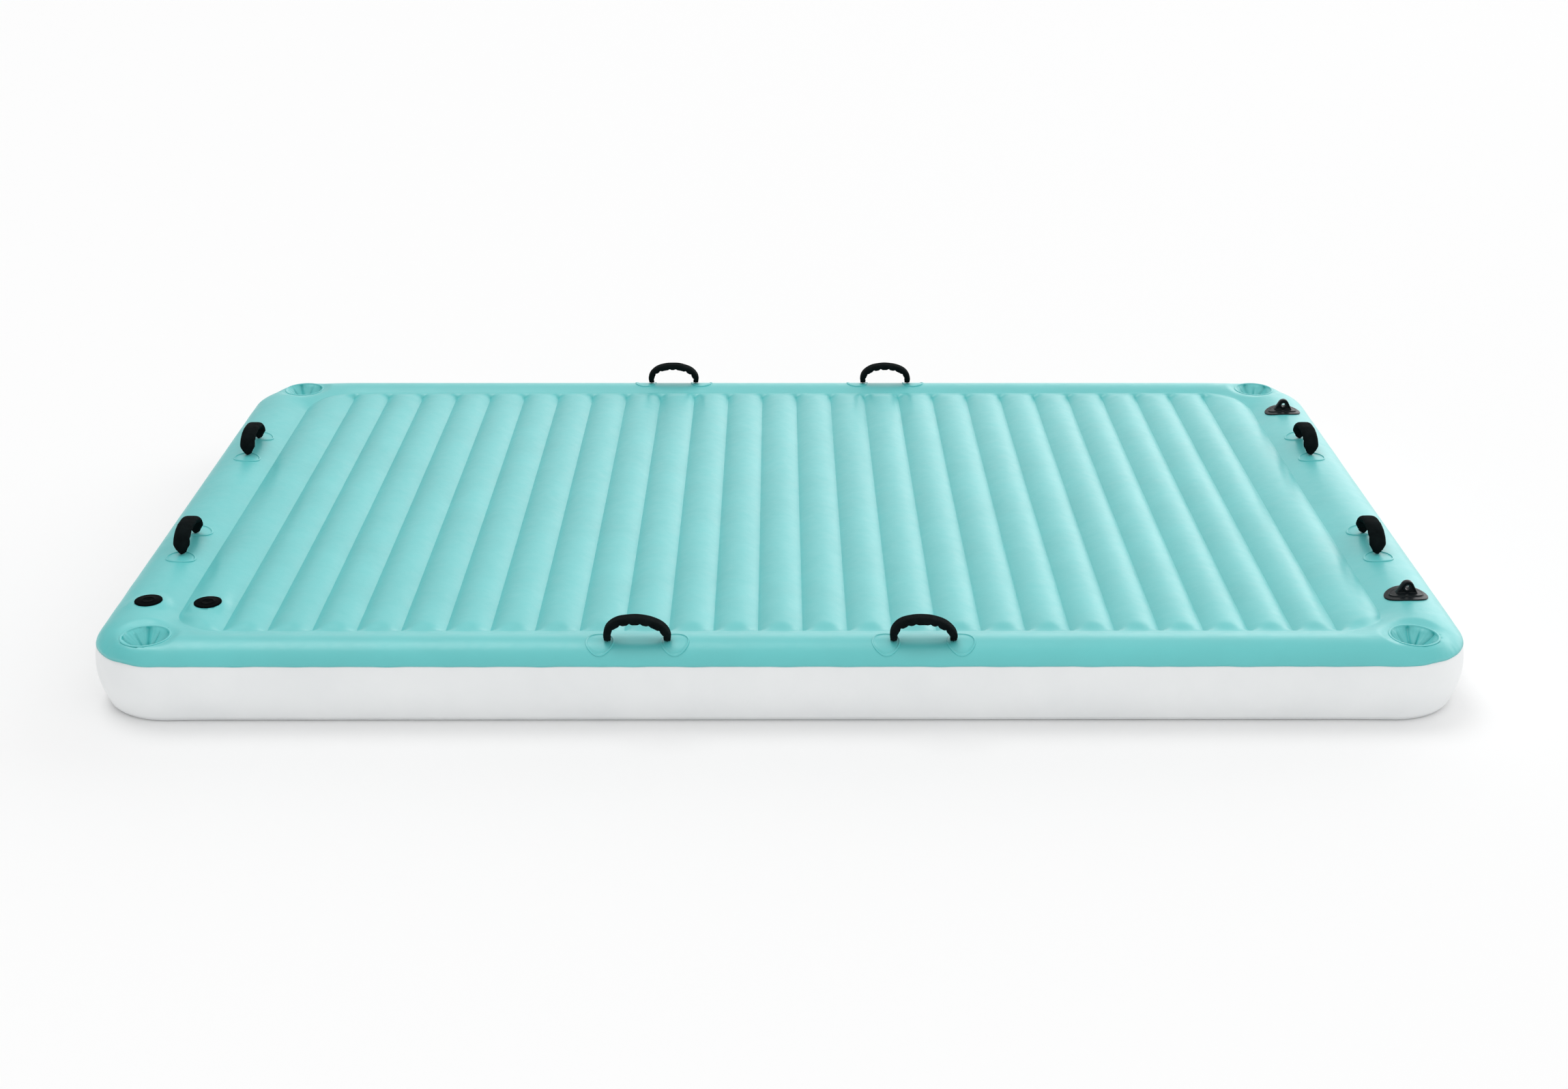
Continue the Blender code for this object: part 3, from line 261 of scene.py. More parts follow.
BASE_PROFILE = (    # radius, height
    (24.5, -6.0), (24.5, -26.0), (19.5, -26.0), (19.5, -3.6), (19.8, -3.5), (22.9, -3.5), (23.2, -3.2),
    (23.2, 0.9), (23.5, 1.2), (29.6, 1.2), (29.9, 1.5), (29.9, 2.15), (30.15, 2.4), (30.9, 2.4),
    (31.35, 2.2), (31.5, 1.75), (31.55, 0.5), (31.5, -0.4), (25.0, -0.6))
BASE_FOLLOW = 3                 # last rows of the profile that lie along the deck
CAP_PROFILE = (     # radius, height
    (0.0, 1.85), (2.5, 1.9), (4.2, 2.3), (5.1, 2.75), (5.9, 2.98), (7.0, 3.0), (12.0, 3.0), (12.3, 3.15),
    (12.45, 3.6), (12.8, 3.8), (14.2, 3.8), (14.55, 3.6), (14.7, 3.15), (15.0, 3.0), (27.5, 3.0), (28.8, 2.9),
    (29.4, 2.6), (29.5, 2.2), (29.5, 1.75), (29.2, 1.5), (12.6, 1.5), (12.6, -7.2), (12.2, -7.5), (0.0, -7.5))
NOTCH = 0.35 * MM
NOTCH_FROM = 28.6 * MM
NOTCH_COUNT = 48

# Angle past which an edge stays sharp, in degrees
SHARP_ANGLE = 35
POCKET_ANGLE = 60
SLEEVE_ANGLE = 50
LUG_ANGLE = 40
VALVE_ANGLE = 30

# Places
POCKETS = {     # side along X, side along Y, directions of the creases in degrees
    "front_left": (-1, -1, (28, 62, 97, 138, 182, 236, 305, 350)),
    "front_right": (1, -1, (20, 58, 91, 133, 163, 215, 268, 330)),
    "back_left": (-1, 1, (33, 70, 112, 150, 205, 260, 322)),
    "back_right": (1, 1, (40, 76, 108, 142, 195, 250, 318)),
}
ACROSS = math.pi / 2
HANDLES = {     # middle of the hinge line, turn about Z, fullness of the arch on each side
    "front_left": (-0.316, -0.893, 0.19618, 0.0, 2.6, 1.85),
    "front_right": (0.316, -0.893, 0.19618, 0.0, 2.5, 1.8),
    "back_left": (-0.316, 0.893, 0.19618, 0.0, 2.3, 2.0),
    "back_right": (0.316, 0.893, 0.19618, 0.0, 2.2, 2.1),
    "left_front": (-1.446, -0.342, 0.19826, ACROSS, 2.1, 2.4),
    "left_back": (-1.446, 0.342, 0.19826, ACROSS, 2.1, 2.4),
    "right_front": (1.446, -0.342, 0.19826, ACROSS, 2.1, 2.4),
    "right_back": (1.446, 0.342, 0.19826, ACROSS, 2.1, 2.4),
}
VALVES = {
    "tube_valve": (-SIDE_TUBE_X, -VALVE_Y, TUBE_CREST),
    "rib_valve": (-END_RIB_X, -VALVE_Y, RIB_TOP),
}

LEVELS = (      # place, height of the plane, how far it is level, where it has faded out, hole's radius
    *((x, y, TUBE_CREST - CUP_SINK, CUP_LEVEL, CUP_FADE, CUP_MOUTH)
      for x in (-CUP_X, CUP_X) for y in (-CUP_Y, CUP_Y)),
    *((*place, VALVE_LEVEL, VALVE_FADE, VALVE_HOLE) for place in VALVES.values()))

# Finishes: each starts with its colour and its deeper colour, linear
FILMS = {       # gloss, clear coat
    "aqua_film": ((0.100, 0.560, 0.560), (0.092, 0.525, 0.525), 0.8, 0.35),
    "white_film": ((0.875, 0.893, 0.897), (0.835, 0.855, 0.862), 0.4, 0.0),
    "inner_film": ((0.52, 0.68, 0.68), (0.46, 0.62, 0.62), 0.4, 0.0),
}
CLOTHS = {      # roughness, thread's width, its rise
    "sleeve_cloth": ((0.0050, 0.0085, 0.0090), (0.0025, 0.0045, 0.0048), (0.74, 0.84), 0.9 * MM, 0.12 * MM),
    "strap_webbing": ((0.010, 0.014, 0.014), (0.005, 0.007, 0.007), (0.72, 0.82), 1.5 * MM, 0.25 * MM),
}
MOULDINGS = {   # roughness, gloss, grain's scale and height
    "lug_rubber": ((0.010, 0.014, 0.016), (0.006, 0.009, 0.010), (0.26, 0.36), 0.12, (900.0, 0.05 * MM)),
    "valve_plastic": ((0.0022, 0.0034, 0.0036), (0.0015, 0.0024, 0.0026), (0.34, 0.44), 0.006,
                      (1400.0, 0.03 * MM)),
    "valve_seal": ((0.42, 0.47, 0.47), (0.36, 0.41, 0.41), (0.5, 0.6), 0.4, (1200.0, 0.03 * MM)),
}
COAT_ROUGHNESS = 0.42
FILM_ROUGHNESS = (0.36, 0.44)
CLOTH_GLOSS = 0.03
FINISHES = {}                   # the materials by these names, once they are made

# Noise, by its scale, which is about the lumps to a metre, and by the lumps' height
NOISE_DETAIL = 2.0
NOISE_SPAN = (0.3, 0.7)         # the noise between these is spread over the whole range
CLOUD_DETAIL = 4.0
SMEAR_RATIO = 5.5               # how much finer the smears are than the clouds
SMEAR_DETAIL = 3.0
FILM_CLOUD = 7.0
CLOTH_CLOUD = 60.0
MOULDED_CLOUD = 45.0
FILM_SWELL = (26.0, 0.9 * MM)
CLOTH_SWELL = (180.0, 0.35 * MM)
FILM_GRAIN = (1500.0, 0.05 * MM)

# Stage
FLOOR_REACH = 30.0
FLOOR_COLOUR = (0.93, 0.93, 0.93, 1.0)
FLOOR_ROUGHNESS = 0.9
FLOOR_GLOSS = 0.1
SKY_SIDE = (0.32, -0.56, 0.764)     # the direction in which the sky is brightest
SKY_SPAN = (-0.4, 0.9)          # share of that direction where the sky is darkest and where it is brightest
SKY_LEVELS = (0.312, 0.965)
BAND_SPANS = ((-0.55, 0.45), (0.1, 0.6), (0.70, 0.30))  # X, Y, Z: where the low band starts and is full
BAND_LEVEL = 1.95
CAMERA_LENS = 47.94
CAMERA_SENSOR = 36.0
CAMERA_PLACE = (-0.0086, -5.054, 2.179)
CAMERA_PITCH = 22.974           # degrees down
CAMERA_YAW = 0.1944
CAMERA_ROLL = -0.0628
KEY_PLACE = (-1.2, 1.6, 4.0)
KEY_POWER = 0.68
KEY_SOFTNESS = 30


# Building meshes


def grid_faces(rows, columns, close_rows=False, close_columns=False):
    """Quads between the neighbours of a grid of rows x columns points, numbered row by row."""
    i = np.arange(rows if close_rows else rows - 1)[:, None]
    j = np.arange(columns if close_columns else columns - 1)[None, :]
    ni, nj = (i + 1) % rows, (j + 1) % columns
    quads = np.stack([i * columns + j, ni * columns + j, ni * columns + nj, i * columns + nj], axis=-1)
    return quads.reshape(-1, 4)


def ringed(points):
    """Quads between rings of points, each closed round."""
    return grid_faces(*points.shape[:2], close_columns=True)


def stacked(*parts):
    """Points of their coordinates, each spread over the others' rows and columns."""
    return np.stack(np.broadcast_arrays(*parts), axis=-1)


def joined(*shapes):
    """One shape of several: points stacked, faces shifted by the points before them."""
    shift, points, faces = 0, [], []
    for some_points, some_faces in shapes:
        points.append(some_points.reshape(-1, 3))
        faces.append(some_faces + shift)
        shift += len(points[-1])
    return np.concatenate(points), np.concatenate(faces)


def mesh_of(name, points, faces, weave=None):
    """Mesh of points and quads, near points made one and faces turned outwards; a quad whose last two are
    one is a triangle. The weave is the cloth's own place of each point, in metres."""
    thirds = faces[:, 2] == faces[:, 3]
    mesh = bpy.data.meshes.new(name)
    mesh.from_pydata(points.reshape(-1, 3).tolist(), [], faces[~thirds].tolist() + faces[thirds, :3].tolist())
    if weave is not None:
        corners = np.empty(len(mesh.loops), np.int32)
        mesh.loops.foreach_get("vertex_index", corners)
        layer = mesh.uv_layers.new(name="weave")
        layer.uv.foreach_set("vector", weave.reshape(-1, 2)[corners].astype(np.float32).ravel())
    bm = bmesh.new()
    bm.from_mesh(mesh)
    bmesh.ops.remove_doubles(bm, verts=bm.verts, dist=WELD)
    bmesh.ops.dissolve_degenerate(bm, edges=bm.edges, dist=SLIVER)
    bmesh.ops.recalc_face_normals(bm, faces=bm.faces)
    bm.to_mesh(mesh)
    bm.free()
    return mesh


def turned_to(mesh, facing):
    """Flips an open sheet's faces if they point, on the whole, against a direction, or inwards for 'out'."""
    count = len(mesh.polygons)
    normal, centre, area = np.empty(count * 3), np.empty(count * 3), np.empty(count)
    mesh.polygons.foreach_get("normal", normal)
    mesh.polygons.foreach_get("center", centre)
    mesh.polygons.foreach_get("area", area)
    wanted = centre.reshape(-1, 3) * (1, 1, 0) if facing == "out" else np.array(facing)
    if (normal.reshape(-1, 3) * wanted * area[:, None]).sum() < 0:
        mesh.flip_normals()


def placed(name, data):
    """New object in the scene."""
    made = bpy.data.objects.new(name, data)
    bpy.context.scene.collection.objects.link(made)
    return made


def piece(name, shape, finish, body, nodes, smooth=SHARP_ANGLE):
    """A piece of the raft: smooth but for edges past an angle, in one finish, riding on a body. Its shape
    is its points, its faces and, for cloth, the weave."""
    mesh = mesh_of(name, *shape)
    made = placed(name, mesh)
    mesh.shade_smooth()
    mesh.set_sharp_from_angle(angle=math.radians(smooth))
    mesh.materials.append(FINISHES[finish])
    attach(made, body)
    if nodes:
        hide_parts(*nodes)
    return made


def film(name, shape, facing, finish, node, thickness=SKIN, smooth=SHARP_ANGLE):
    """An open sheet of the raft, facing a direction, given its thickness inwards from the surface."""
    made = piece(name, shape, finish, "mat", (node,), smooth)
    turned_to(made.data, facing)
    step = made.modifiers.new("film", "SOLIDIFY")
    step.thickness = thickness
    step.offset = -1
    step.use_quality_normals = True


def polar(x, y, reach, turn):
    """Places in plan at a reach and a turn from a point: the reach times the turn's cosine and sine."""
    return x + reach * np.cos(turn), y + reach * np.sin(turn)


def smoothstep(share):
    """3t^2 - 2t^3 of the share held between 0 and 1."""
    share = np.clip(share, 0, 1)
    return share * share * (3 - 2 * share)


# The deck's surface


def panel_end(x):
    """Half the ribbed panel's depth at x: straight, then a quarter circle at each corner."""
    past = np.clip(np.abs(x) - PANEL_ARC_X, 0, PANEL_CORNER)
    return PANEL_ARC_Y + np.sqrt(PANEL_CORNER ** 2 - past ** 2)


def rib_height(x):
    """Arch over each rib's width, 1 - (2u - 1)^2, with u running from 0 to 1 between its grooves."""
    inner = ((x + RIB_EDGE) / RIB_PITCH) % 1.0
    outer = (np.abs(x) - RIB_EDGE) / END_RIB_WIDTH
    share = np.where(np.abs(x) <= RIB_EDGE, inner, outer)
    return 1 - (2 * share - 1) ** 2


def edge_share(x):
    """Share by which the deck is raised at the panel's end: all of it, but from the end rib's middle
    outwards as much as the rib's arch."""
    return np.where(np.abs(x) > END_RIB_X, rib_height(x), 1.0)


def panel_rise(x, inside):
    """Height of the ribs, which fades by a smoothstep to the level of the panel's end: over a short way
    in the grooves and a long one on the crests."""
    arch = rib_height(x)
    fade = smoothstep(inside / (GROOVE_FADE + (CREST_FADE - GROOVE_FADE) * arch))
    return RIB_RISE * arch * fade + EDGE_RISE * edge_share(x) * (1 - fade)


def bottom_rise(x, inside):
    """Rib height that closes as a quarter ellipse at the rib's end, while the groove fades to half
    height."""
    closing = np.sqrt(1 - (1 - np.clip(inside / RIB_END_LENGTH, 0, 1)) ** 2)
    groove = smoothstep(inside / GROOVE_END_LENGTH)
    return RIB_RISE * closing * (rib_height(x) * groove + edge_share(x) * (1 - groove) / 2)


def seam_point(x, y):
    """Point of the upper seam that faces a point of the panel's edge: square out, or along the ray from
    the middle of the corner's arc."""
    ax, ay = np.abs(x), np.abs(y)
    dx = np.clip((ax - PANEL_ARC_X) / PANEL_CORNER, TINY, 1)
    dy = np.clip((ay - PANEL_ARC_Y) / PANEL_CORNER, TINY, 1)
    to_end = (SEAM_HALF_DEPTH - PANEL_ARC_Y) / dy
    to_side = (SEAM_HALF_LENGTH - PANEL_ARC_X) / dx
    ox, oy = PANEL_ARC_X - SEAM_ARC_X, PANEL_ARC_Y - SEAM_ARC_Y
    along = dx * ox + dy * oy
    to_corner = np.sqrt(np.maximum(along ** 2 - ox ** 2 - oy ** 2 + SEAM_CORNER ** 2, 0)) - along
    on_end = PANEL_ARC_X + dx * to_end <= SEAM_ARC_X
    on_side = PANEL_ARC_Y + dy * to_side <= SEAM_ARC_Y
    reach = np.where(on_end, to_end, np.where(on_side, to_side, to_corner))
    sx, sy = PANEL_ARC_X + dx * reach, PANEL_ARC_Y + dy * reach
    straight_end, straight_side = ax <= PANEL_ARC_X + WELD, ay <= PANEL_ARC_Y + WELD
    sx = np.where(straight_end, ax, np.where(straight_side, SEAM_HALF_LENGTH, sx))
    sy = np.where(straight_end, SEAM_HALF_DEPTH, np.where(straight_side, ay, sy))
    return np.copysign(sx, x), np.copysign(sy, y)


def crown_height(share, start=DECK_VALLEY):
    """Height of the deck's tube: a quarter sine up to the crest, then a circular turn down to the seam."""
    inner = start + (TUBE_CREST - start) * np.sin(math.pi / 2 * np.clip(share / CREST_SHARE, 0, 1))
    sine = np.clip((share - CREST_SHARE) / (1 - CREST_SHARE), 0, 1) * math.sin(LAST_TURN)
    outer = TUBE_CREST - CROWN_DROP * (1 - np.sqrt(1 - sine ** 2))
    return np.where(share < CREST_SHARE, inner, outer)


def levelled(x, y, height):
    """Deck's height drawn to a level plane round each cup mouth and valve, fading out by a smoothstep."""
    for place_x, place_y, plane, level, fade, _ in LEVELS:
        reach = np.hypot(x - place_x, y - place_y)
        height = height + (plane - height) * smoothstep((fade - reach) / (fade - level))
    return height


def deck_height(x, y):
    """Height of the deck at any point in plan, on the ribs or on the tube round them."""
    x, y = np.broadcast_arrays(np.asarray(x, float), np.asarray(y, float))
    ax, ay = np.abs(x), np.abs(y)
    inside = panel_end(x) - ay
    on_panel = (ax <= PANEL_HALF_LENGTH) & (inside >= 0)
    ribs = DECK_VALLEY + panel_rise(np.clip(x, -PANEL_HALF_LENGTH, PANEL_HALF_LENGTH), np.maximum(inside, 0))
    from_x, from_y = ax - PANEL_ARC_X, ay - PANEL_ARC_Y
    reach = np.hypot(np.maximum(from_x, 0), np.maximum(from_y, 0))
    corner = (from_x > 0) & (from_y > 0)
    unit_x = np.where(corner, from_x / np.maximum(reach, WELD), 0) * PANEL_CORNER + PANEL_ARC_X
    unit_y = np.where(corner, from_y / np.maximum(reach, WELD), 0) * PANEL_CORNER + PANEL_ARC_Y
    sx, sy = seam_point(unit_x, unit_y)
    width = np.hypot(sx - unit_x, sy - unit_y)
    corner_share = (reach - PANEL_CORNER) / np.maximum(width, WELD)
    end_share = (ay - PANEL_HALF_DEPTH) / (SEAM_HALF_DEPTH - PANEL_HALF_DEPTH)
    side_share = (ax - PANEL_HALF_LENGTH) / (SEAM_HALF_LENGTH - PANEL_HALF_LENGTH)
    share = np.where(corner, corner_share, np.where(from_x <= 0, end_share, side_share))
    edge_x = np.where(corner, unit_x, np.minimum(ax, PANEL_HALF_LENGTH))
    start = DECK_VALLEY + EDGE_RISE * edge_share(edge_x)
    return levelled(x, y, np.where(on_panel, ribs, crown_height(np.clip(share, 0, 1), start)))


def laid(x, y, lift):
    """Points laid on the deck in plan and lifted square to it: the deck's height, plus its unit normal
    times the lift."""
    x, y, lift = np.broadcast_arrays(x, y, lift)
    slope_x = (deck_height(x + SLOPE_STEP, y) - deck_height(x - SLOPE_STEP, y)) / (2 * SLOPE_STEP)
    slope_y = (deck_height(x, y + SLOPE_STEP) - deck_height(x, y - SLOPE_STEP)) / (2 * SLOPE_STEP)
    up = lift / np.sqrt(1 + slope_x ** 2 + slope_y ** 2)
    return stacked(x - slope_x * up, y - slope_y * up, deck_height(x, y) + up)


def panel_columns(rib_steps, corner_steps):
    """Places along X: even steps over the inner ribs, then even turns round the panel's corners."""
    middle = np.linspace(-RIB_EDGE, RIB_EDGE, (RIB_COUNT - 2) * rib_steps + 1)
    first = math.asin((RIB_EDGE - PANEL_ARC_X) / PANEL_CORNER)
    turns = np.linspace(first, math.pi / 2, corner_steps + 1)[1:]
    end = PANEL_ARC_X + PANEL_CORNER * np.sin(turns)
    return np.concatenate([-end[::-1], middle, end])


def panel_rows(columns, end_rows, middle_shares):
    """Distance inside the panel's end and y, per row and column: at the ribs' ends the rows follow one
    less a cosine, between them they are wide."""
    steps = RIB_END_LENGTH * (1 - np.cos(np.linspace(0, math.pi / 2, end_rows)))
    shares = np.array(middle_shares)
    shares = np.concatenate([-shares[::-1], shares])
    depth = panel_end(columns)[None, :]
    front = -(depth - steps[:, None])
    middle = shares[:, None] * (depth - RIB_END_LENGTH)
    y = np.concatenate([front, middle, -front[::-1]])
    return depth - np.abs(y), y


def edge_loop(columns, end_rows, middle_shares):
    """Points round the rim of the panel's grid in plan, anticlockwise from the front left."""
    _, y = panel_rows(columns, end_rows, middle_shares)
    x = np.broadcast_to(columns, y.shape)
    return tuple(np.concatenate([g[0, :-1], g[:-1, -1], g[-1, :0:-1], g[:0:-1, 0]]) for g in (x, y))


def carried(loop_x, loop_y, section):
    """Section carried round the raft: each place is a share out to the seam, less an inset, at a height."""
    sx, sy = seam_point(loop_x, loop_y)
    width = np.hypot(sx - loop_x, sy - loop_y)
    share, inset, height = (np.asarray(part)[:, None] for part in zip(*section))
    out = (width - inset) * share / width
    return stacked(loop_x + (sx - loop_x) * out, loop_y + (sy - loop_y) * out, height)


def ribbed_skin(columns, end_rows, middle_shares, section, rise, crowned=False):
    """Panel of ribs as a height over x and y, and the section carried round its rim. The inner part of a
    crowned section starts from the rim's own height."""
    inside, y = panel_rows(columns, end_rows, middle_shares)
    x = np.broadcast_to(columns, y.shape)
    panel = stacked(x, y, rise(x, inside))
    loop_x, loop_y = edge_loop(columns, end_rows, middle_shares)
    rim = stacked(loop_x, loop_y, rise(loop_x, loop_x * 0))
    ring = np.concatenate([rim[None], carried(loop_x, loop_y, section)])
    if crowned:
        shares = np.array([row[0] for row in section])[:, None]
        ring[1:, :, 2] = np.where(shares < CREST_SHARE, crown_height(shares, rim[:, 2]), ring[1:, :, 2])
    return joined((panel, grid_faces(*y.shape)), (ring, ringed(ring)))


def cut_round(points, faces, centre, radius):
    """Opens a round hole in the deck: of each edge that crosses the circle, the nearer end slides to it
    along its ray. Faces inside are dropped, and one that the circle cuts from corner to corner keeps its
    outer half."""
    offset = points[:, :2] - centre
    reach = np.hypot(offset[:, 0], offset[:, 1])
    away = reach - radius
    near, far = faces.ravel(), np.roll(faces, -1, axis=1).ravel()
    crossing = away[near] * away[far] < 0
    near, far = near[crossing], far[crossing]
    moved = np.unique(np.where(np.abs(away[near]) < np.abs(away[far]), near, far))
    points[moved, :2] = centre + offset[moved] * (radius / reach[moved])[:, None]
    points[moved, 2] = deck_height(points[moved, 0], points[moved, 1])
    away[moved] = 0
    of_face = away[faces]
    faces, of_face = faces[of_face.max(axis=1) > 0], of_face[of_face.max(axis=1) > 0]
    mixed = of_face.min(axis=1) < 0
    first = (of_face[mixed].argmin(axis=1)[:, None] + np.array([1, 2, 3, 3])) % 4
    return points, np.concatenate([faces[~mixed], np.take_along_axis(faces[mixed], first, axis=1)])


def seam_wave(points):
    """Slow unevenness of the seam's line: sines of the place in plan, fading above and below it as a bell
    curve, e to the minus square of the distance over the reach."""
    x, y, z = points.T
    wave = sum(strength * np.sin(rate * (x + part * y) + start) for rate, part, start, strength in SEAM_WAVES)
    fade = np.exp(-((z - UPPER_SEAM) / SEAM_WAVE_REACH) ** 2)
    points[:, 2] += SEAM_WAVE * wave * fade
    return points


def corner_puckers(points):
    """Small gathers of the film above the seam at the four corners: outward bumps along the corner's arc,
    sines whose spacing drifts by another sine."""
    x, y, z = points.T
    from_x, from_y = np.abs(x) - SEAM_ARC_X, np.abs(y) - SEAM_ARC_Y
    turn = np.arctan2(np.maximum(from_y, 0), np.maximum(from_x, WELD))
    share = turn / (math.pi / 2)
    ends = smoothstep(share / PUCKER_FADE_SHARE) * smoothstep((1 - share) / PUCKER_FADE_SHARE)
    round_corner = ends * (from_x > 0) * (from_y > 0)
    along = turn * SEAM_CORNER
    drift = PUCKER_DRIFT * np.sin(TURN * along / PUCKER_DRIFT_LENGTH)
    bump = 0.5 + 0.5 * np.sin(TURN * along / PUCKER_LENGTH + drift)
    above, below = z - UPPER_SEAM + SKIN, UPPER_SEAM + PUCKER_REACH - z
    fade = smoothstep(above / PUCKER_FOOT) * smoothstep(below / PUCKER_REACH)
    push = PUCKER_DEPTH * bump * round_corner * fade
    points[:, 0] += np.copysign(push * np.cos(turn), x)
    points[:, 1] += np.copysign(push * np.sin(turn), y)
    return points


def wall_line(share):
    """Inset and height of the side wall: a straight lean with a parabolic bulge."""
    bulge = 4 * WALL_SAG * share * (1 - share)
    return LAP_STEP + WALL_INSET * share - bulge, UPPER_SEAM - WALL_HEIGHT * share


def foot_turn(height):
    """Inset of the raft's foot at a height: the wall's lean at the knee, bent round to the floor as a
    power of the way down."""
    inset, low = wall_line(1)
    upper_inset, upper = wall_line(LAP_SHARE)
    lean = (inset - upper_inset) / (upper - low)
    knee = low - 2 * LAP_STEP
    bent = np.clip(1 - height / knee, 0, 1)
    return inset - LAP_STEP + lean * (low - height) + FLOOR_TURN * bent ** FOOT_POWER


def wall_section():
    """Wall from under the deck's rim down to its lap, then out over the bottom's face to its own lower
    edge."""
    places = []
    for turn in np.radians(WALL_TUCK_TURNS):
        share = CREST_SHARE + (1 - CREST_SHARE) * math.sin(turn) / math.sin(LAST_TURN)
        places.append((share, LAP_STEP + WALL_TUCK, TUBE_CREST - CROWN_DROP * (1 - math.cos(turn))))
    places += [(1.0, *wall_line(share)) for share in np.linspace(0, LAP_SHARE, WALL_STEPS)]
    _, upper = wall_line(LAP_SHARE)
    for height in np.linspace(upper, WALL_FOOT, FOOT_STEPS)[1:]:
        part = smoothstep((upper - height) / (upper - LOWER_SEAM))
        straight, _ = wall_line((UPPER_SEAM - height) / WALL_HEIGHT)
        places.append((1.0, straight * (1 - part) + foot_turn(height) * part, height))
    return places


def bottom_section():
    """Bottom from the panel down a quarter cosine to its flat strip, round the foot and up inside the
    wall."""
    strip = foot_turn(0.0) + FLOOR_STRIP
    slope = np.linspace(0, 1, BOTTOM_SLOPE_STEPS)[1:]
    places = [(share, strip, BOTTOM_VALLEY * math.cos(math.pi / 2 * share)) for share in slope]
    for part in np.linspace(0, 1, FOOT_STEPS):
        height = part ** 2 * LOWER_SEAM
        places.append((1.0, foot_turn(height) + WALL_OVERLAP * smoothstep(part / OVERLAP_SHARE), height))
    return places


def build_skins():
    """Deck, side wall and bottom, with the webs and the chamber wall inside."""
    columns = panel_columns(RIB_STEPS, CORNER_STEPS)
    half = CROWN_STEPS // 2 + 1
    inner = CREST_SHARE * np.linspace(0, 1, half)[1:]
    turns = np.sin(np.linspace(0, LAST_TURN, half)[1:]) / math.sin(LAST_TURN)
    shares = np.concatenate([inner, CREST_SHARE + (1 - CREST_SHARE) * turns])
    section = [(share, 0.0, height) for share, height in zip(shares, crown_height(shares))]
    points, faces = ribbed_skin(
        columns, END_ROWS, MIDDLE_SHARES, section,
        lambda x, inside: DECK_VALLEY + panel_rise(x, inside), crowned=True)
    points[:, 2] = levelled(*points.T)
    for x, y, *_, hole in LEVELS:
        points, faces = cut_round(points, faces, np.array([x, y]), hole)
    points = corner_puckers(seam_wave(points))
    film("deck_film", (points, faces), (0, 0, 1), "aqua_film", "deck_skin")

    loop_x, loop_y = edge_loop(columns, END_ROWS, MIDDLE_SHARES)
    ring = carried(loop_x, loop_y, wall_section())
    shape = seam_wave(ring.reshape(-1, 3)), ringed(ring)
    film("wall_film", shape, "out", "white_film", "side_wall")

    columns = panel_columns(BOTTOM_RIB_STEPS, BOTTOM_CORNER_STEPS)
    shape = ribbed_skin(
        columns, BOTTOM_END_ROWS, BOTTOM_SHARES, bottom_section(),
        lambda x, inside: np.maximum(BOTTOM_VALLEY - bottom_rise(x, inside), 0))
    film("bottom_film", shape, (0, 0, -1), "white_film", "bottom_skin")

    piece("web_films", web_shapes(), "inner_film", "mat", ("bottom_skin",))
    ring = carried(loop_x, loop_y, [(0.0, 0.0, WEB_TOP), (0.0, 0.0, CHAMBER_FOOT)])
    film("chamber_film", (ring, ringed(ring)), "out", "inner_film", "chamber_wall", WEB_FILM)


def web_shapes():
    """Upright strip under each groove with its flange: one bent outline run between the ribs' ends."""
    half, low, flange = WEB_FILM / 2, WEB_FOOT, WEB_TOP - WEB_FILM
    outline = np.array([(-half, low), (half, low), (half, flange), (WEB_FLANGE, flange),
                        (WEB_FLANGE, WEB_TOP), (-half, WEB_TOP)])
    grooves = (np.arange(RIB_COUNT - 1) - (RIB_COUNT - 2) / 2) * RIB_PITCH
    ends = np.array([-1, 1]) * (PANEL_HALF_DEPTH - RIB_END_LENGTH)
    points = np.empty((len(grooves), 2, len(outline), 3))
    points[..., 0] = grooves[:, None, None] + outline[None, None, :, 0]
    points[..., 1] = ends[None, :, None]
    points[..., 2] = outline[None, None, :, 1]
    sides = grid_faces(2, len(outline), close_columns=True)
    end = np.array([(0, 1, 2, 5), (2, 3, 4, 5)])
    one = np.concatenate([sides, end, end[:, ::-1] + len(outline)])
    faces = one[None] + (np.arange(len(grooves)) * 2 * len(outline))[:, None, None]
    return points.reshape(-1, 3), faces.reshape(-1, 4)


# Cup pockets


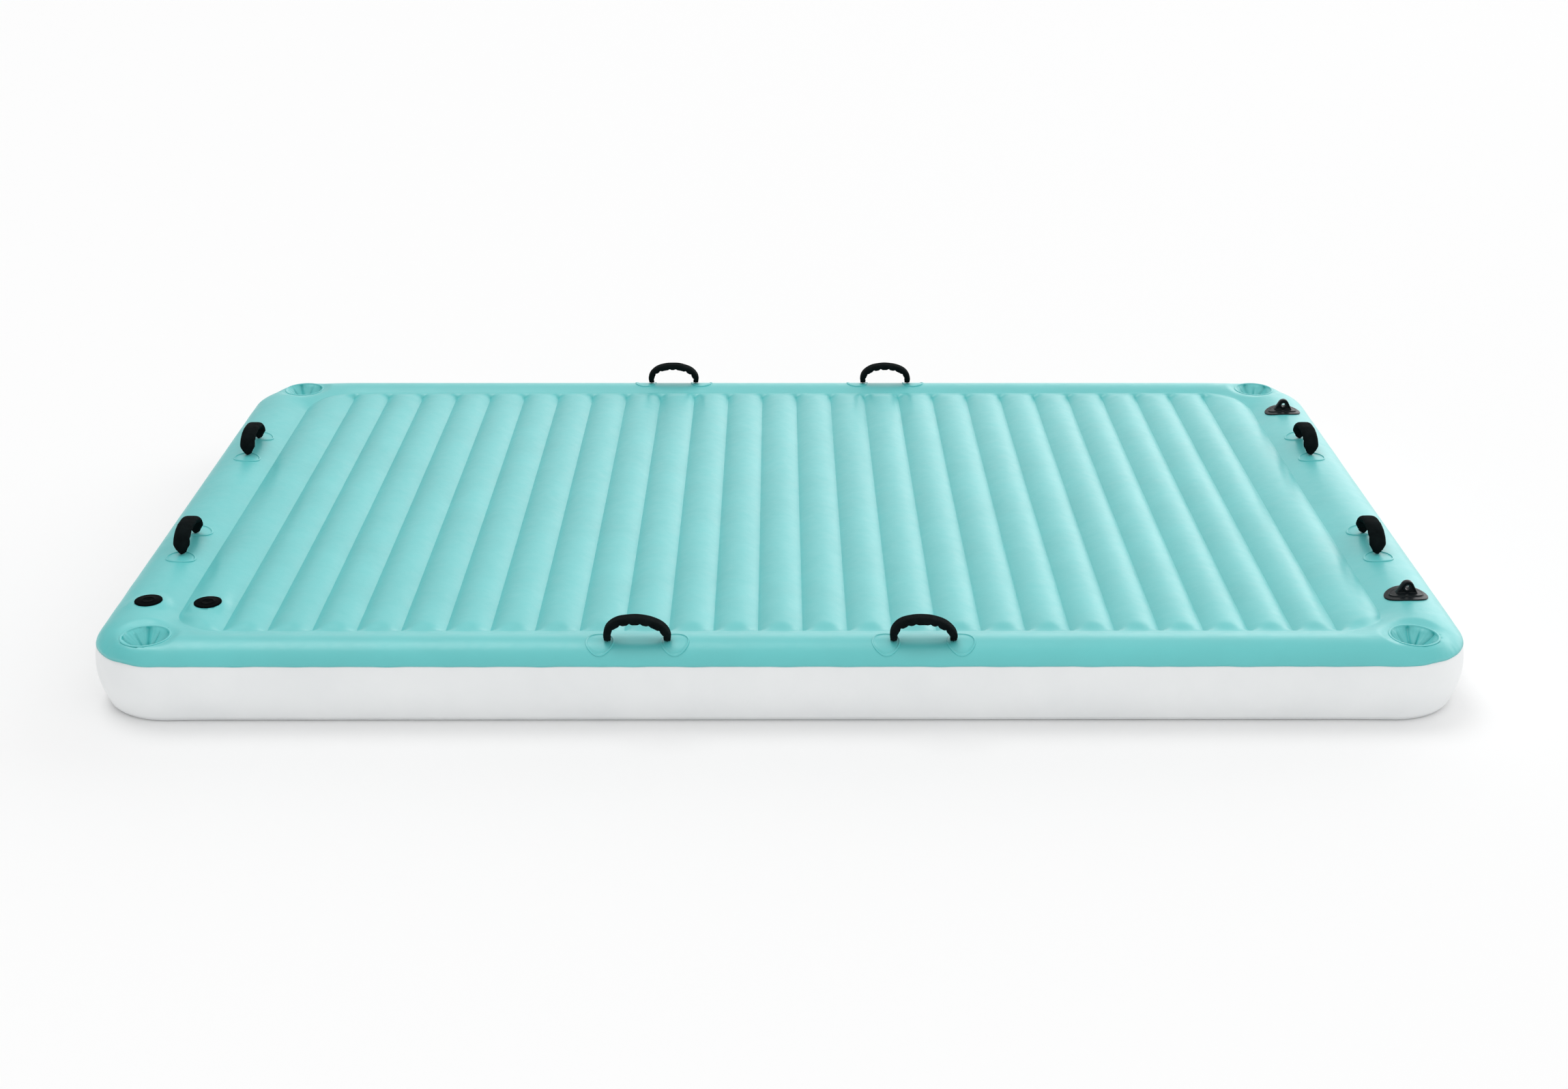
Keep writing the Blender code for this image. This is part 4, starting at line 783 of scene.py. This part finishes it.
def pocket_shape(x, y, creases):
    """Pocket in rings down from its weld ring: round at the mouth, then a polygon whose corners are the
    creases, out and in by turns, each with a narrow fold outwards, drawn in half way down and closed by a
    floor. Between corners at reaches p and q, a turns apart, a side's reach at turn t is p q sin a / (p
    sin t + q sin(a - t))."""
    turn = np.linspace(0, TURN, CUP_STEPS, endpoint=False)
    creases = np.radians(np.sort(creases))
    ahead = np.append(creases, creases[0] + TURN)
    turned = (turn - creases[0]) % TURN + creases[0]
    sector = np.minimum(np.searchsorted(ahead, turned, side="right"), len(creases)) - 1
    start, end = ahead[sector], ahead[sector + 1]
    corners = 1 + ZIGZAG_SHARE * (-1.0) ** np.arange(len(creases) + 1)
    first, second = corners[sector], np.append(corners[:-1], corners[0])[sector + 1]
    across = first * np.sin(turned - start) + second * np.sin(end - turned)
    side = first * second * np.sin(end - start) / across
    nearest = np.minimum(turned - start, end - turned)
    rim_height = deck_height(*polar(x, y, CUP_MOUTH, turn))

    collar = np.array(COLLAR) * MM
    radius = (CUP_MOUTH + collar[:, 0])[:, None] + 0 * turn
    rings = [laid(*polar(x, y, radius, turn), collar[:, 1][:, None])]

    depth, reach, crease = (np.array(FUNNEL) * MM).T
    rim = np.linspace(0, depth[1], RIM_STEPS)[1:]
    fine = np.concatenate([rim, np.linspace(depth[1], depth[-1], FUNNEL_STEPS)[1:]])
    corner = np.interp(fine, depth, reach)[:, None]
    fold = np.interp(fine, depth, crease)[:, None]
    flat = smoothstep(fine / FUNNEL_FLAT)[:, None]
    drift = PLEAT_DRIFT * np.sin(PLEAT_DRIFT_COUNT * turn)
    pleats = PLEAT * np.sin(PLEAT_COUNT * turn + drift) * smoothstep(fine / depth[1])[:, None]
    pleats *= np.minimum(1, corner / CUP_MOUTH)
    folds = fold * np.exp(-nearest * corner / FOLD_WIDTH)
    radius = corner * (1 - CHORD_SHARE * flat * (1 - side)) + folds + pleats
    sunk = smoothstep(fine / fine[-1])[:, None]
    height = (rim_height - fine[:, None]) * (1 - sunk) + (TUBE_CREST - fine[:, None]) * sunk
    rings.append(stacked(*polar(x, y, radius, turn), height))

    shares = np.array(FLOOR_SHARES)[:, None]
    floor = height[-1] - FLOOR_SAG * (1 - shares)
    rings.append(stacked(*polar(x, y, radius[-1] * shares, turn), floor))
    points = np.concatenate(rings)
    return points, ringed(points)


def build_pockets():
    """Four cup pockets, one in each corner."""
    for name, (side_x, side_y, creases) in POCKETS.items():
        film("pocket_" + name, pocket_shape(side_x * CUP_X, side_y * CUP_Y, creases), (0, 0, 1),
             "aqua_film", "cup_pocket_" + name, CUP_FILM, POCKET_ANGLE)


# Grab handles


def oval_rings(edge, half_length, steps, rings):
    """Turns round an oval, and the inset and lift of its rings: the edge's section, then even steps
    inwards."""
    inset, lift = (np.array(edge) * MM).T
    inner = np.linspace(inset[-1], half_length, rings)[1:]
    around = np.linspace(0, TURN, steps, endpoint=False)
    return around, np.append(inset, inner)[:, None], np.append(lift, inner * 0 + lift[-1])[:, None]


def patch_shape(x, y, turn):
    """Oval patch in rings from its edge to its middle, laid on the deck: a round edge, a pressed weld
    line."""
    around, inset, lift = oval_rings(PATCH_EDGE, PATCH_ALONG, PATCH_STEPS, PATCH_RINGS)
    along = (PATCH_ALONG - inset) * np.cos(around)
    across = (PATCH_ACROSS - inset * PATCH_ACROSS / PATCH_ALONG) * np.sin(around)
    cos, sin = math.cos(turn), math.sin(turn)
    points = laid(x + along * cos - across * sin, y + along * sin + across * cos, lift)
    return points, ringed(points)


def run_along(u, w):
    """Length along a line up to each of its points."""
    return np.append(0, np.cumsum(np.hypot(np.diff(u), np.diff(w))))


def handle_path(rise, left, right, count):
    """Line of a handle from foot to foot: a half superellipse with its own fullness on each side, in even
    steps, with the direction square to it. Both are in the handle's own upright plane."""
    turn = np.linspace(0, math.pi, ARCH_POINTS)
    power = 2 / np.where(turn < math.pi / 2, left, right)
    u = -HALF_SPAN * np.sign(np.cos(turn)) * np.abs(np.cos(turn)) ** power
    w = rise * np.sin(turn) ** power
    length = run_along(u, w)
    even = np.linspace(0, length[-1], count)
    u, w = np.interp(even, length, u), np.interp(even, length, w)
    du, dw = np.gradient(u), np.gradient(w)
    size = np.hypot(du, dw)
    return u, w, -dw / size, du / size


def with_feet(line, below):
    """A handle's line, and the direction square to it, with rows added below the hinge line at each foot."""
    u, w, out_u, out_w = line
    level = 0 * below
    u, out_u = (np.concatenate([level + part[0], part, level + part[-1]]) for part in (u, out_u))
    return u, np.concatenate([below, w, below[::-1]]), out_u, np.concatenate([level, out_w, level])


def set_up(u, v, w, site):
    """The handle's own places (along its feet, across, up) turned and moved to its site on the raft."""
    x, y, z, turn = site
    cos, sin = math.cos(turn), math.sin(turn)
    return stacked(x + u * cos - v * sin, y + u * sin + v * cos, z + w)


def sleeve_shape(site, rise, left, right, seed):
    """Padded sleeve: a lens section with sharp sides carried over the arch and closed at each foot in a
    half circle round the hinge line, smooth and slightly lumpy outside, and gathered into short folds
    inside the bend. At a turn the lens stands off by (1 - |cos|^5)^0.8, and each fold is a bell curve
    along the sleeve."""
    chance = np.random.default_rng(seed)
    below = -np.append(np.array(FOOT_SHARES) * SLEEVE_FOOT, SLEEVE_START * np.array(START_SHARES))
    u, w, out_u, out_w = with_feet(handle_path(rise, left, right, SLEEVE_ROWS), below)
    length = run_along(u, w)
    share = length / length[-1]
    width = np.interp(w, *(np.array(SLEEVE_WIDTHS) * MM).T)
    rounded = np.sqrt(np.maximum(SLEEVE_FOOT ** 2 - w ** 2, 0))
    width = np.where(w < -SLEEVE_START - WELD, rounded, width)
    end = np.minimum(length, length[-1] - length)
    thick = SLEEVE_HALF * (SLEEVE_END_SHARE + (1 - SLEEVE_END_SHARE) * smoothstep(end / SLEEVE_SWELL))
    around = np.linspace(0, TURN, SLEEVE_COLUMNS + 1)
    cos, sin = np.cos(around), np.sin(around)
    section = np.sign(sin) * (1 - np.abs(cos) ** SIDE_POWER) ** FACE_POWER
    section[np.abs(sin) < TINY] = 0
    strays = chance.uniform(-SCALLOP_DRIFT_SHARE, SCALLOP_DRIFT_SHARE, SCALLOPS)
    creases = (np.arange(SCALLOPS) + 0.5 + strays) / SCALLOPS
    deep = SCALLOP_DEPTH * chance.uniform(*SCALLOP_DEPTH_SHARES, SCALLOPS)
    gap = (share[:, None] - creases[None]) / SCALLOP_WIDTH_SHARE
    dent = (deep[None] * np.exp(-gap ** 2)).sum(axis=1)[:, None]
    phases = chance.uniform(0, TURN, len(LUMP_RATES))
    waves = (np.sin(TURN * rate * share + phase) for rate, phase in zip(LUMP_RATES, phases))
    lumps = (sum(waves) / len(LUMP_RATES))[:, None]
    inner = np.clip(SCALLOP_FROM_SHARE - section, 0, 1)[None, :]
    outer = np.clip(section, 0, 1)[None, :]
    across = width[:, None] * cos[None, :] * (1 - SCALLOP_PULL_SHARE * dent / SCALLOP_DEPTH * inner)
    puff = thick[:, None] * section[None, :] + dent * inner + LUMP * lumps * outer
    points = set_up(u[:, None] + out_u[:, None] * puff, across, w[:, None] + out_w[:, None] * puff, site)
    first, last = (np.array([set_up(u[row] + out_u[row] * puff[row] * thinned, across[row] * narrowed,
                                    w[row] + height * MM, site) for thinned, narrowed, height in MOUTH])
                   for row in (0, -1))
    rows = np.concatenate([first[::-1], points, last])
    lips = np.zeros(len(MOUTH))
    run = np.concatenate([lips, length, lips + length[-1]])
    weave = stacked(run[:, None], around[None, :] / TURN * SLEEVE_GIRTH)
    return rows, grid_faces(*rows.shape[:2]), weave


def strap_shape(site, rise, left, right):
    """Flat webbing over the same arch, each end a half round tab below the hinge line."""
    tab = np.linspace(math.pi / 2, 0, TAB_STEPS)[:-1]
    radius = STRAP_WIDTH / 2
    line = handle_path(rise, left, right, STRAP_ROWS)
    half = np.concatenate([radius * np.cos(tab), line[0] * 0 + radius, radius * np.cos(tab[::-1])])
    u, w, out_u, out_w = with_feet(line, -radius * np.sin(tab))
    around = np.array(STRAP_SECTION)
    across = half[:, None] * around[None, :, 0]
    puff = STRAP_THICKNESS / 2 * around[None, :, 1]
    points = set_up(u[:, None] + out_u[:, None] * puff, across, w[:, None] + out_w[:, None] * puff, site)
    weave = stacked(run_along(u, w)[:, None], radius * around[None, :, 0])
    return points, grid_faces(*points.shape[:2]), weave


def build_handles():
    """Eight grab handles, each with its strap, its sleeve and a patch under each foot."""
    for name, (x, y, z, turn, left, right) in HANDLES.items():
        site = (x, y, z, turn)
        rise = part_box("handle_sleeve_" + name)[1][2] - z - SLEEVE_HALF
        body = "handle_" + name
        strap = strap_shape(site, rise, left, right)
        piece("strap_" + name, strap, "strap_webbing", body, ("handle_strap_" + name,))
        padding = sleeve_shape(site, rise, left, right, len(name) + int(SEED_SCALE * abs(x + y)))
        sleeve = piece("sleeve_" + name, padding, "sleeve_cloth", body,
                       ("handle_sleeve_" + name,), SLEEVE_ANGLE)
        for side, foot in ((-1, "a"), (1, "b")):
            middle = (x + side * PATCH_PLACE * math.cos(turn), y + side * PATCH_PLACE * math.sin(turn))
            patch = patch_shape(*middle, turn)
            label = name + "_" + foot
            piece("patch_" + label, patch, "aqua_film", "mat", ("handle_patch_" + label,))


# Rope lugs


def lug_base(y):
    """Oval foot laid over the tube in rings: a round edge, a raised step with a bead round it, a flat
    top."""
    around, inset, lift = oval_rings(LUG_EDGE, LUG_HALF_LENGTH, LUG_STEPS, LUG_RINGS)
    along = (LUG_HALF_LENGTH - inset) * np.cos(around)
    across = (LUG_HALF_LENGTH - inset) * LUG_HALF_WIDTH / LUG_HALF_LENGTH * np.sin(around)
    on_step = np.hypot(along / LUG_STEP_HALF_LENGTH, across / LUG_STEP_HALF_WIDTH)
    raised = LUG_STEP_RISE * smoothstep((LUG_STEP_EDGE_SHARE - on_step) / LUG_STEP_FADE_SHARE)
    bead = LUG_BEAD * np.exp(-((on_step - LUG_BEAD_SHARE) / LUG_BEAD_WIDTH_SHARE) ** 2)
    points = laid(SIDE_TUBE_X + along, y + across, lift + (raised + bead) * (inset > LUG_EDGE_CLEAR))
    return points, ringed(points)


def hood_outline(half_span, foot, nose, turn):
    """Reach from the eye's middle to a rounded triangle at each turn: two flanks that touch the nose's
    circle, and a level foot. It is read between the outline's own points, which lie in order round the
    eye."""
    rise = FIN_HEIGHT - FIN_NOSE
    reach = math.hypot(half_span, rise - foot)
    tilt = math.atan2(foot - rise, half_span) + math.acos(nose / reach)
    cap = np.linspace(tilt, math.pi - tilt, HOOD_TURN_STEPS)
    corner = np.array([[half_span, foot]])
    top = np.stack([nose * np.cos(cap), rise + nose * np.sin(cap)], axis=-1)
    ring = np.concatenate([corner, top, corner * (-1, 1), corner])
    even = np.linspace(0, 1, HOOD_SIDE_STEPS)[:-1, None]
    ring = np.concatenate([ring[k] + (ring[k + 1] - ring[k]) * even for k in range(len(ring) - 1)])
    off = ring - (0, EYE_HEIGHT)
    angle = np.arctan2(off[:, 1], off[:, 0]) % TURN
    order = np.argsort(angle)
    return np.interp(turn % TURN, angle[order], np.hypot(off[:, 0], off[:, 1])[order], period=TURN)


def lug_fin(y):
    """Hooded fin: a loop of section that runs over the rim, down into the hollow, up the boss, through
    the eye and back, carried round the eye's middle between the fin's outline, the hollow's, the boss and
    the eye."""
    turn = np.linspace(0, TURN, FIN_STEPS, endpoint=False)
    outer = hood_outline(FIN_HALF_SPAN, FIN_FOOT, FIN_NOSE, turn)
    hollow = hood_outline(HOLLOW_HALF_SPAN, HOLLOW_FOOT, FIN_NOSE - FIN_RIM, turn)
    loops = np.stack([outer, hollow, 0 * turn + BOSS_RADIUS, 0 * turn + EYE_RADIUS])
    loops[1] = np.maximum(loops[1], BOSS_RADIUS + HOLLOW_CLEAR)
    rows = [(loops[near] * (1 - part) + loops[min(near + 1, len(loops) - 1)] * part + out * MM, depth * MM)
            for near, part, out, depth in FIN_SECTION]
    radius = np.array([row[0] for row in rows])
    depth = np.array([row[1] for row in rows])[:, None]
    radius, depth = np.concatenate([radius, radius[-2:0:-1]]), np.concatenate([-depth, depth[-2:0:-1]])
    x, z = radius * np.cos(turn), EYE_HEIGHT + radius * np.sin(turn)
    splay = 1 + FIN_SPLAY_SHARE * smoothstep((FIN_SPLAY_TOP - z) / FIN_SPLAY_TOP)
    points = stacked(SIDE_TUBE_X + x, y + depth * splay, TUBE_CREST + z)
    return points, grid_faces(*points.shape[:2], close_rows=True, close_columns=True)


def build_lugs():
    """Two rope lugs, each a foot and a fin."""
    for side, end in ((-1, "front"), (1, "back")):
        shape = joined(lug_base(side * LUG_Y), lug_fin(side * LUG_Y))
        piece("lug_" + end, shape, "lug_rubber", "mat", ("rope_lug_" + end,), LUG_ANGLE)


# Filling valves


def turned_shape(profile, centre, notches=0.0, follow=0):
    """Profile of radius and height swept round the upright axis through the centre. Notches are shallow
    waves in the outermost rows, and as many last rows as follow says take the deck's height under them."""
    radius, height = (np.array(profile) * MM).T
    turn = np.linspace(0, TURN, VALVE_STEPS, endpoint=False)
    wave = 0.5 + 0.5 * np.cos(NOTCH_COUNT * turn)
    radius = radius[:, None] - notches * (radius[:, None] > NOTCH_FROM) * wave
    x, y = polar(centre[0], centre[1], radius, turn)
    z = np.broadcast_to(centre[2] + height[:, None], x.shape).copy()
    if follow:
        z[-follow:] = deck_height(x[-follow:], y[-follow:]) + height[-follow:, None]
    return stacked(x, y, z)


def build_valves():
    """Welded base and cap of each valve; the parts under the cap stay as they are and take their finish."""
    under = (("gasket", "valve_seal"), ("check_flap", "valve_seal"), ("insert", "valve_plastic"),
             ("tether_ring", "valve_plastic"))
    for name, centre in VALVES.items():
        base = turned_shape(BASE_PROFILE, centre, follow=BASE_FOLLOW)
        seat = base, grid_faces(*base.shape[:2], close_rows=True, close_columns=True)
        piece(name + "_seat", seat, "valve_plastic", "mat", (name + "_base",), VALVE_ANGLE)
        cap = turned_shape(CAP_PROFILE, centre, notches=NOTCH)
        piece(name + "_lid", (cap, ringed(cap)), "valve_plastic", name + "_cap",
              (name + "_cap",), VALVE_ANGLE)
        for part, finish in under:
            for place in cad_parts[name + "_" + part].material_slots:
                place.material = FINISHES[finish]


# Finishes


def feed(tree, value, socket):
    """Links another node's output to an input, or sets the input to a number, a direction or a colour."""
    if isinstance(value, bpy.types.NodeSocket):
        tree.links.new(value, socket)
    else:
        socket.default_value = value


def added(tree, kind, inputs, **settings):
    """New node with its settings, each of the inputs named being fed its value."""
    node = tree.nodes.new(kind)
    for name, value in settings.items():
        setattr(node, name, value)
    for name, value in inputs.items():
        feed(tree, value, node.inputs[name])
    return node


def noise(tree, place, scale, detail=NOISE_DETAIL):
    """Cloudy noise between 0 and 1."""
    inputs = {"Vector": place, "Scale": scale, "Detail": detail}
    return added(tree, "ShaderNodeTexNoise", inputs).outputs["Fac"]


def ranged(tree, value, levels, span=NOISE_SPAN):
    """Value held within a span, which is spread evenly between two levels."""
    inputs = dict(zip(("Value", "From Min", "From Max", "To Min", "To Max"), (value, *span, *levels)))
    return added(tree, "ShaderNodeMapRange", inputs).outputs["Result"]


def blended(tree, factor, first, second):
    """Colour between two others: the first at a factor of 0, the second at 1."""
    node = added(tree, "ShaderNodeMix", {"Factor": factor}, data_type="RGBA")
    sockets = [s for s in node.inputs if s.type == "RGBA"]
    for socket, colour in zip(sockets, (first, second)):
        feed(tree, colour, socket)
    return next(s for s in node.outputs if s.type == "RGBA")


def maths(tree, kind, first, second):
    """One step of arithmetic on two values."""
    return added(tree, "ShaderNodeMath", {0: first, 1: second}, operation=kind).outputs["Value"]


def bumped(tree, height, rise, before=None):
    """The surface's direction as tilted by a height, on top of the tilt before it."""
    inputs = {"Height": height, "Distance": rise}
    if before is not None:
        inputs["Normal"] = before
    return added(tree, "ShaderNodeBump", inputs).outputs["Normal"]


def grained(tree, place, grain, before=None):
    """The surface's direction as tilted by noise of a scale and a height."""
    scale, rise = grain
    return bumped(tree, noise(tree, place, scale), rise, before)


def bare_material(name):
    """New material: its node tree and the inputs of its shader."""
    made = bpy.data.materials.new(name)
    made.use_nodes = True
    return made, made.node_tree, made.node_tree.nodes["Principled BSDF"].inputs


def clouded(name, colour, deep, roughness, cloud, gloss):
    """Material whose colour and roughness drift slowly over the surface, and its coordinates for finer
    detail."""
    made, tree, shader = bare_material(name)
    place = tree.nodes.new("ShaderNodeTexCoord").outputs["Object"]
    drift = ranged(tree, noise(tree, place, cloud, CLOUD_DETAIL), (0, 1))
    feed(tree, blended(tree, drift, (*deep, 1.0), (*colour, 1.0)), shader["Base Color"])
    smear = noise(tree, place, SMEAR_RATIO * cloud, SMEAR_DETAIL)
    feed(tree, ranged(tree, smear, roughness), shader["Roughness"])
    feed(tree, gloss, shader["Specular IOR Level"])
    return made, tree, shader, place


def vinyl(name, colour, deep, gloss, coat):
    """Satin film: cloudy colour, a slow unevenness of the stretched film, a fine leathery grain, and a
    soft clear coat where it is glossy."""
    made, tree, shader, place = clouded(name, colour, deep, FILM_ROUGHNESS, FILM_CLOUD, gloss)
    slow = grained(tree, place, FILM_SWELL)
    feed(tree, grained(tree, place, FILM_GRAIN, before=slow), shader["Normal"])
    feed(tree, coat, shader["Coat Weight"])
    feed(tree, COAT_ROUGHNESS, shader["Coat Roughness"])
    return made


def woven(name, colour, deep, roughness, thread, rise):
    """Plain weave on the cloth's own places: the threads both ways are sine waves, and their product puts
    one over the other in turn."""
    made, tree, shader, place = clouded(name, colour, deep, roughness, CLOTH_CLOUD, CLOTH_GLOSS)
    layer = added(tree, "ShaderNodeUVMap", {}, uv_map="weave")
    split = added(tree, "ShaderNodeSeparateXYZ", {"Vector": layer.outputs["UV"]})
    waves = []
    for axis in "XY":
        turn = maths(tree, "MULTIPLY", split.outputs[axis], math.pi / thread)
        waves.append(maths(tree, "SINE", turn, 0.0))
    over = maths(tree, "MULTIPLY", *waves)
    feed(tree, bumped(tree, over, rise, before=grained(tree, place, CLOTH_SWELL)), shader["Normal"])
    return made


def moulded(name, colour, deep, roughness, gloss, grain):
    """Moulded rubber or plastic: an even black with a fine grain and faint smears."""
    made, tree, shader, place = clouded(name, colour, deep, roughness, MOULDED_CLOUD, gloss)
    feed(tree, grained(tree, place, grain), shader["Normal"])
    return made


def dress():
    """Every piece of the raft in its finish."""
    for make, kinds in ((vinyl, FILMS), (woven, CLOTHS), (moulded, MOULDINGS)):
        for name, looks in kinds.items():
            FINISHES[name] = make(name, *looks)
    build_skins()
    build_pockets()
    build_handles()
    build_lugs()
    build_valves()


# Stage


def stage():
    """Pale floor, a soft sky that is brighter on one side, and the camera where the photo was taken."""
    reach = FLOOR_REACH
    mesh = bpy.data.meshes.new("floor")
    mesh.from_pydata([(-reach, -reach, 0), (reach, -reach, 0), (reach, reach, 0), (-reach, reach, 0)], [],
                     [(0, 1, 2, 3)])
    floor = placed("floor", mesh)
    paper, tree, shader = bare_material("floor_paper")
    feed(tree, FLOOR_COLOUR, shader["Base Color"])
    feed(tree, FLOOR_ROUGHNESS, shader["Roughness"])
    feed(tree, FLOOR_GLOSS, shader["Specular IOR Level"])
    mesh.materials.append(paper)

    world = bpy.data.worlds.new("studio")
    world.use_nodes = True
    bpy.context.scene.world = world
    tree = world.node_tree
    sky = tree.nodes["Background"].inputs
    feed(tree, (1, 1, 1, 1), sky["Color"])
    looking = tree.nodes.new("ShaderNodeTexCoord").outputs["Generated"]
    facing = added(tree, "ShaderNodeVectorMath", {0: looking, 1: SKY_SIDE}, operation="DOT_PRODUCT")
    level = ranged(tree, facing.outputs["Value"], SKY_LEVELS, SKY_SPAN)
    split = added(tree, "ShaderNodeSeparateXYZ", {"Vector": looking})
    band = BAND_LEVEL
    for axis, span in zip("XYZ", BAND_SPANS):
        band = maths(tree, "MULTIPLY", ranged(tree, split.outputs[axis], (0, 1), span), band)
    feed(tree, maths(tree, "ADD", level, band), sky["Strength"])

    eye = bpy.data.cameras.new("camera")
    eye.lens = CAMERA_LENS
    eye.sensor_width = CAMERA_SENSOR
    view = placed("camera", eye)
    view.location = CAMERA_PLACE
    view.rotation_euler = (math.pi / 2 - math.radians(CAMERA_PITCH), math.radians(CAMERA_ROLL),
                           -math.radians(CAMERA_YAW))
    bpy.context.scene.camera = view
    bpy.context.scene.view_settings.view_transform = "Standard"


def light():
    """Soft high sun from behind on the left, which lifts the ribs' dark flanks and gives the front its
    shadow."""
    sun = bpy.data.lights.new("key", "SUN")
    sun.energy = KEY_POWER
    sun.angle = math.radians(KEY_SOFTNESS)
    lamp = placed("key", sun)
    lamp.location = KEY_PLACE
    lamp.rotation_euler = (Vector() - Vector(KEY_PLACE)).to_track_quat("-Z", "Y").to_euler()


dress()
stage()
light()
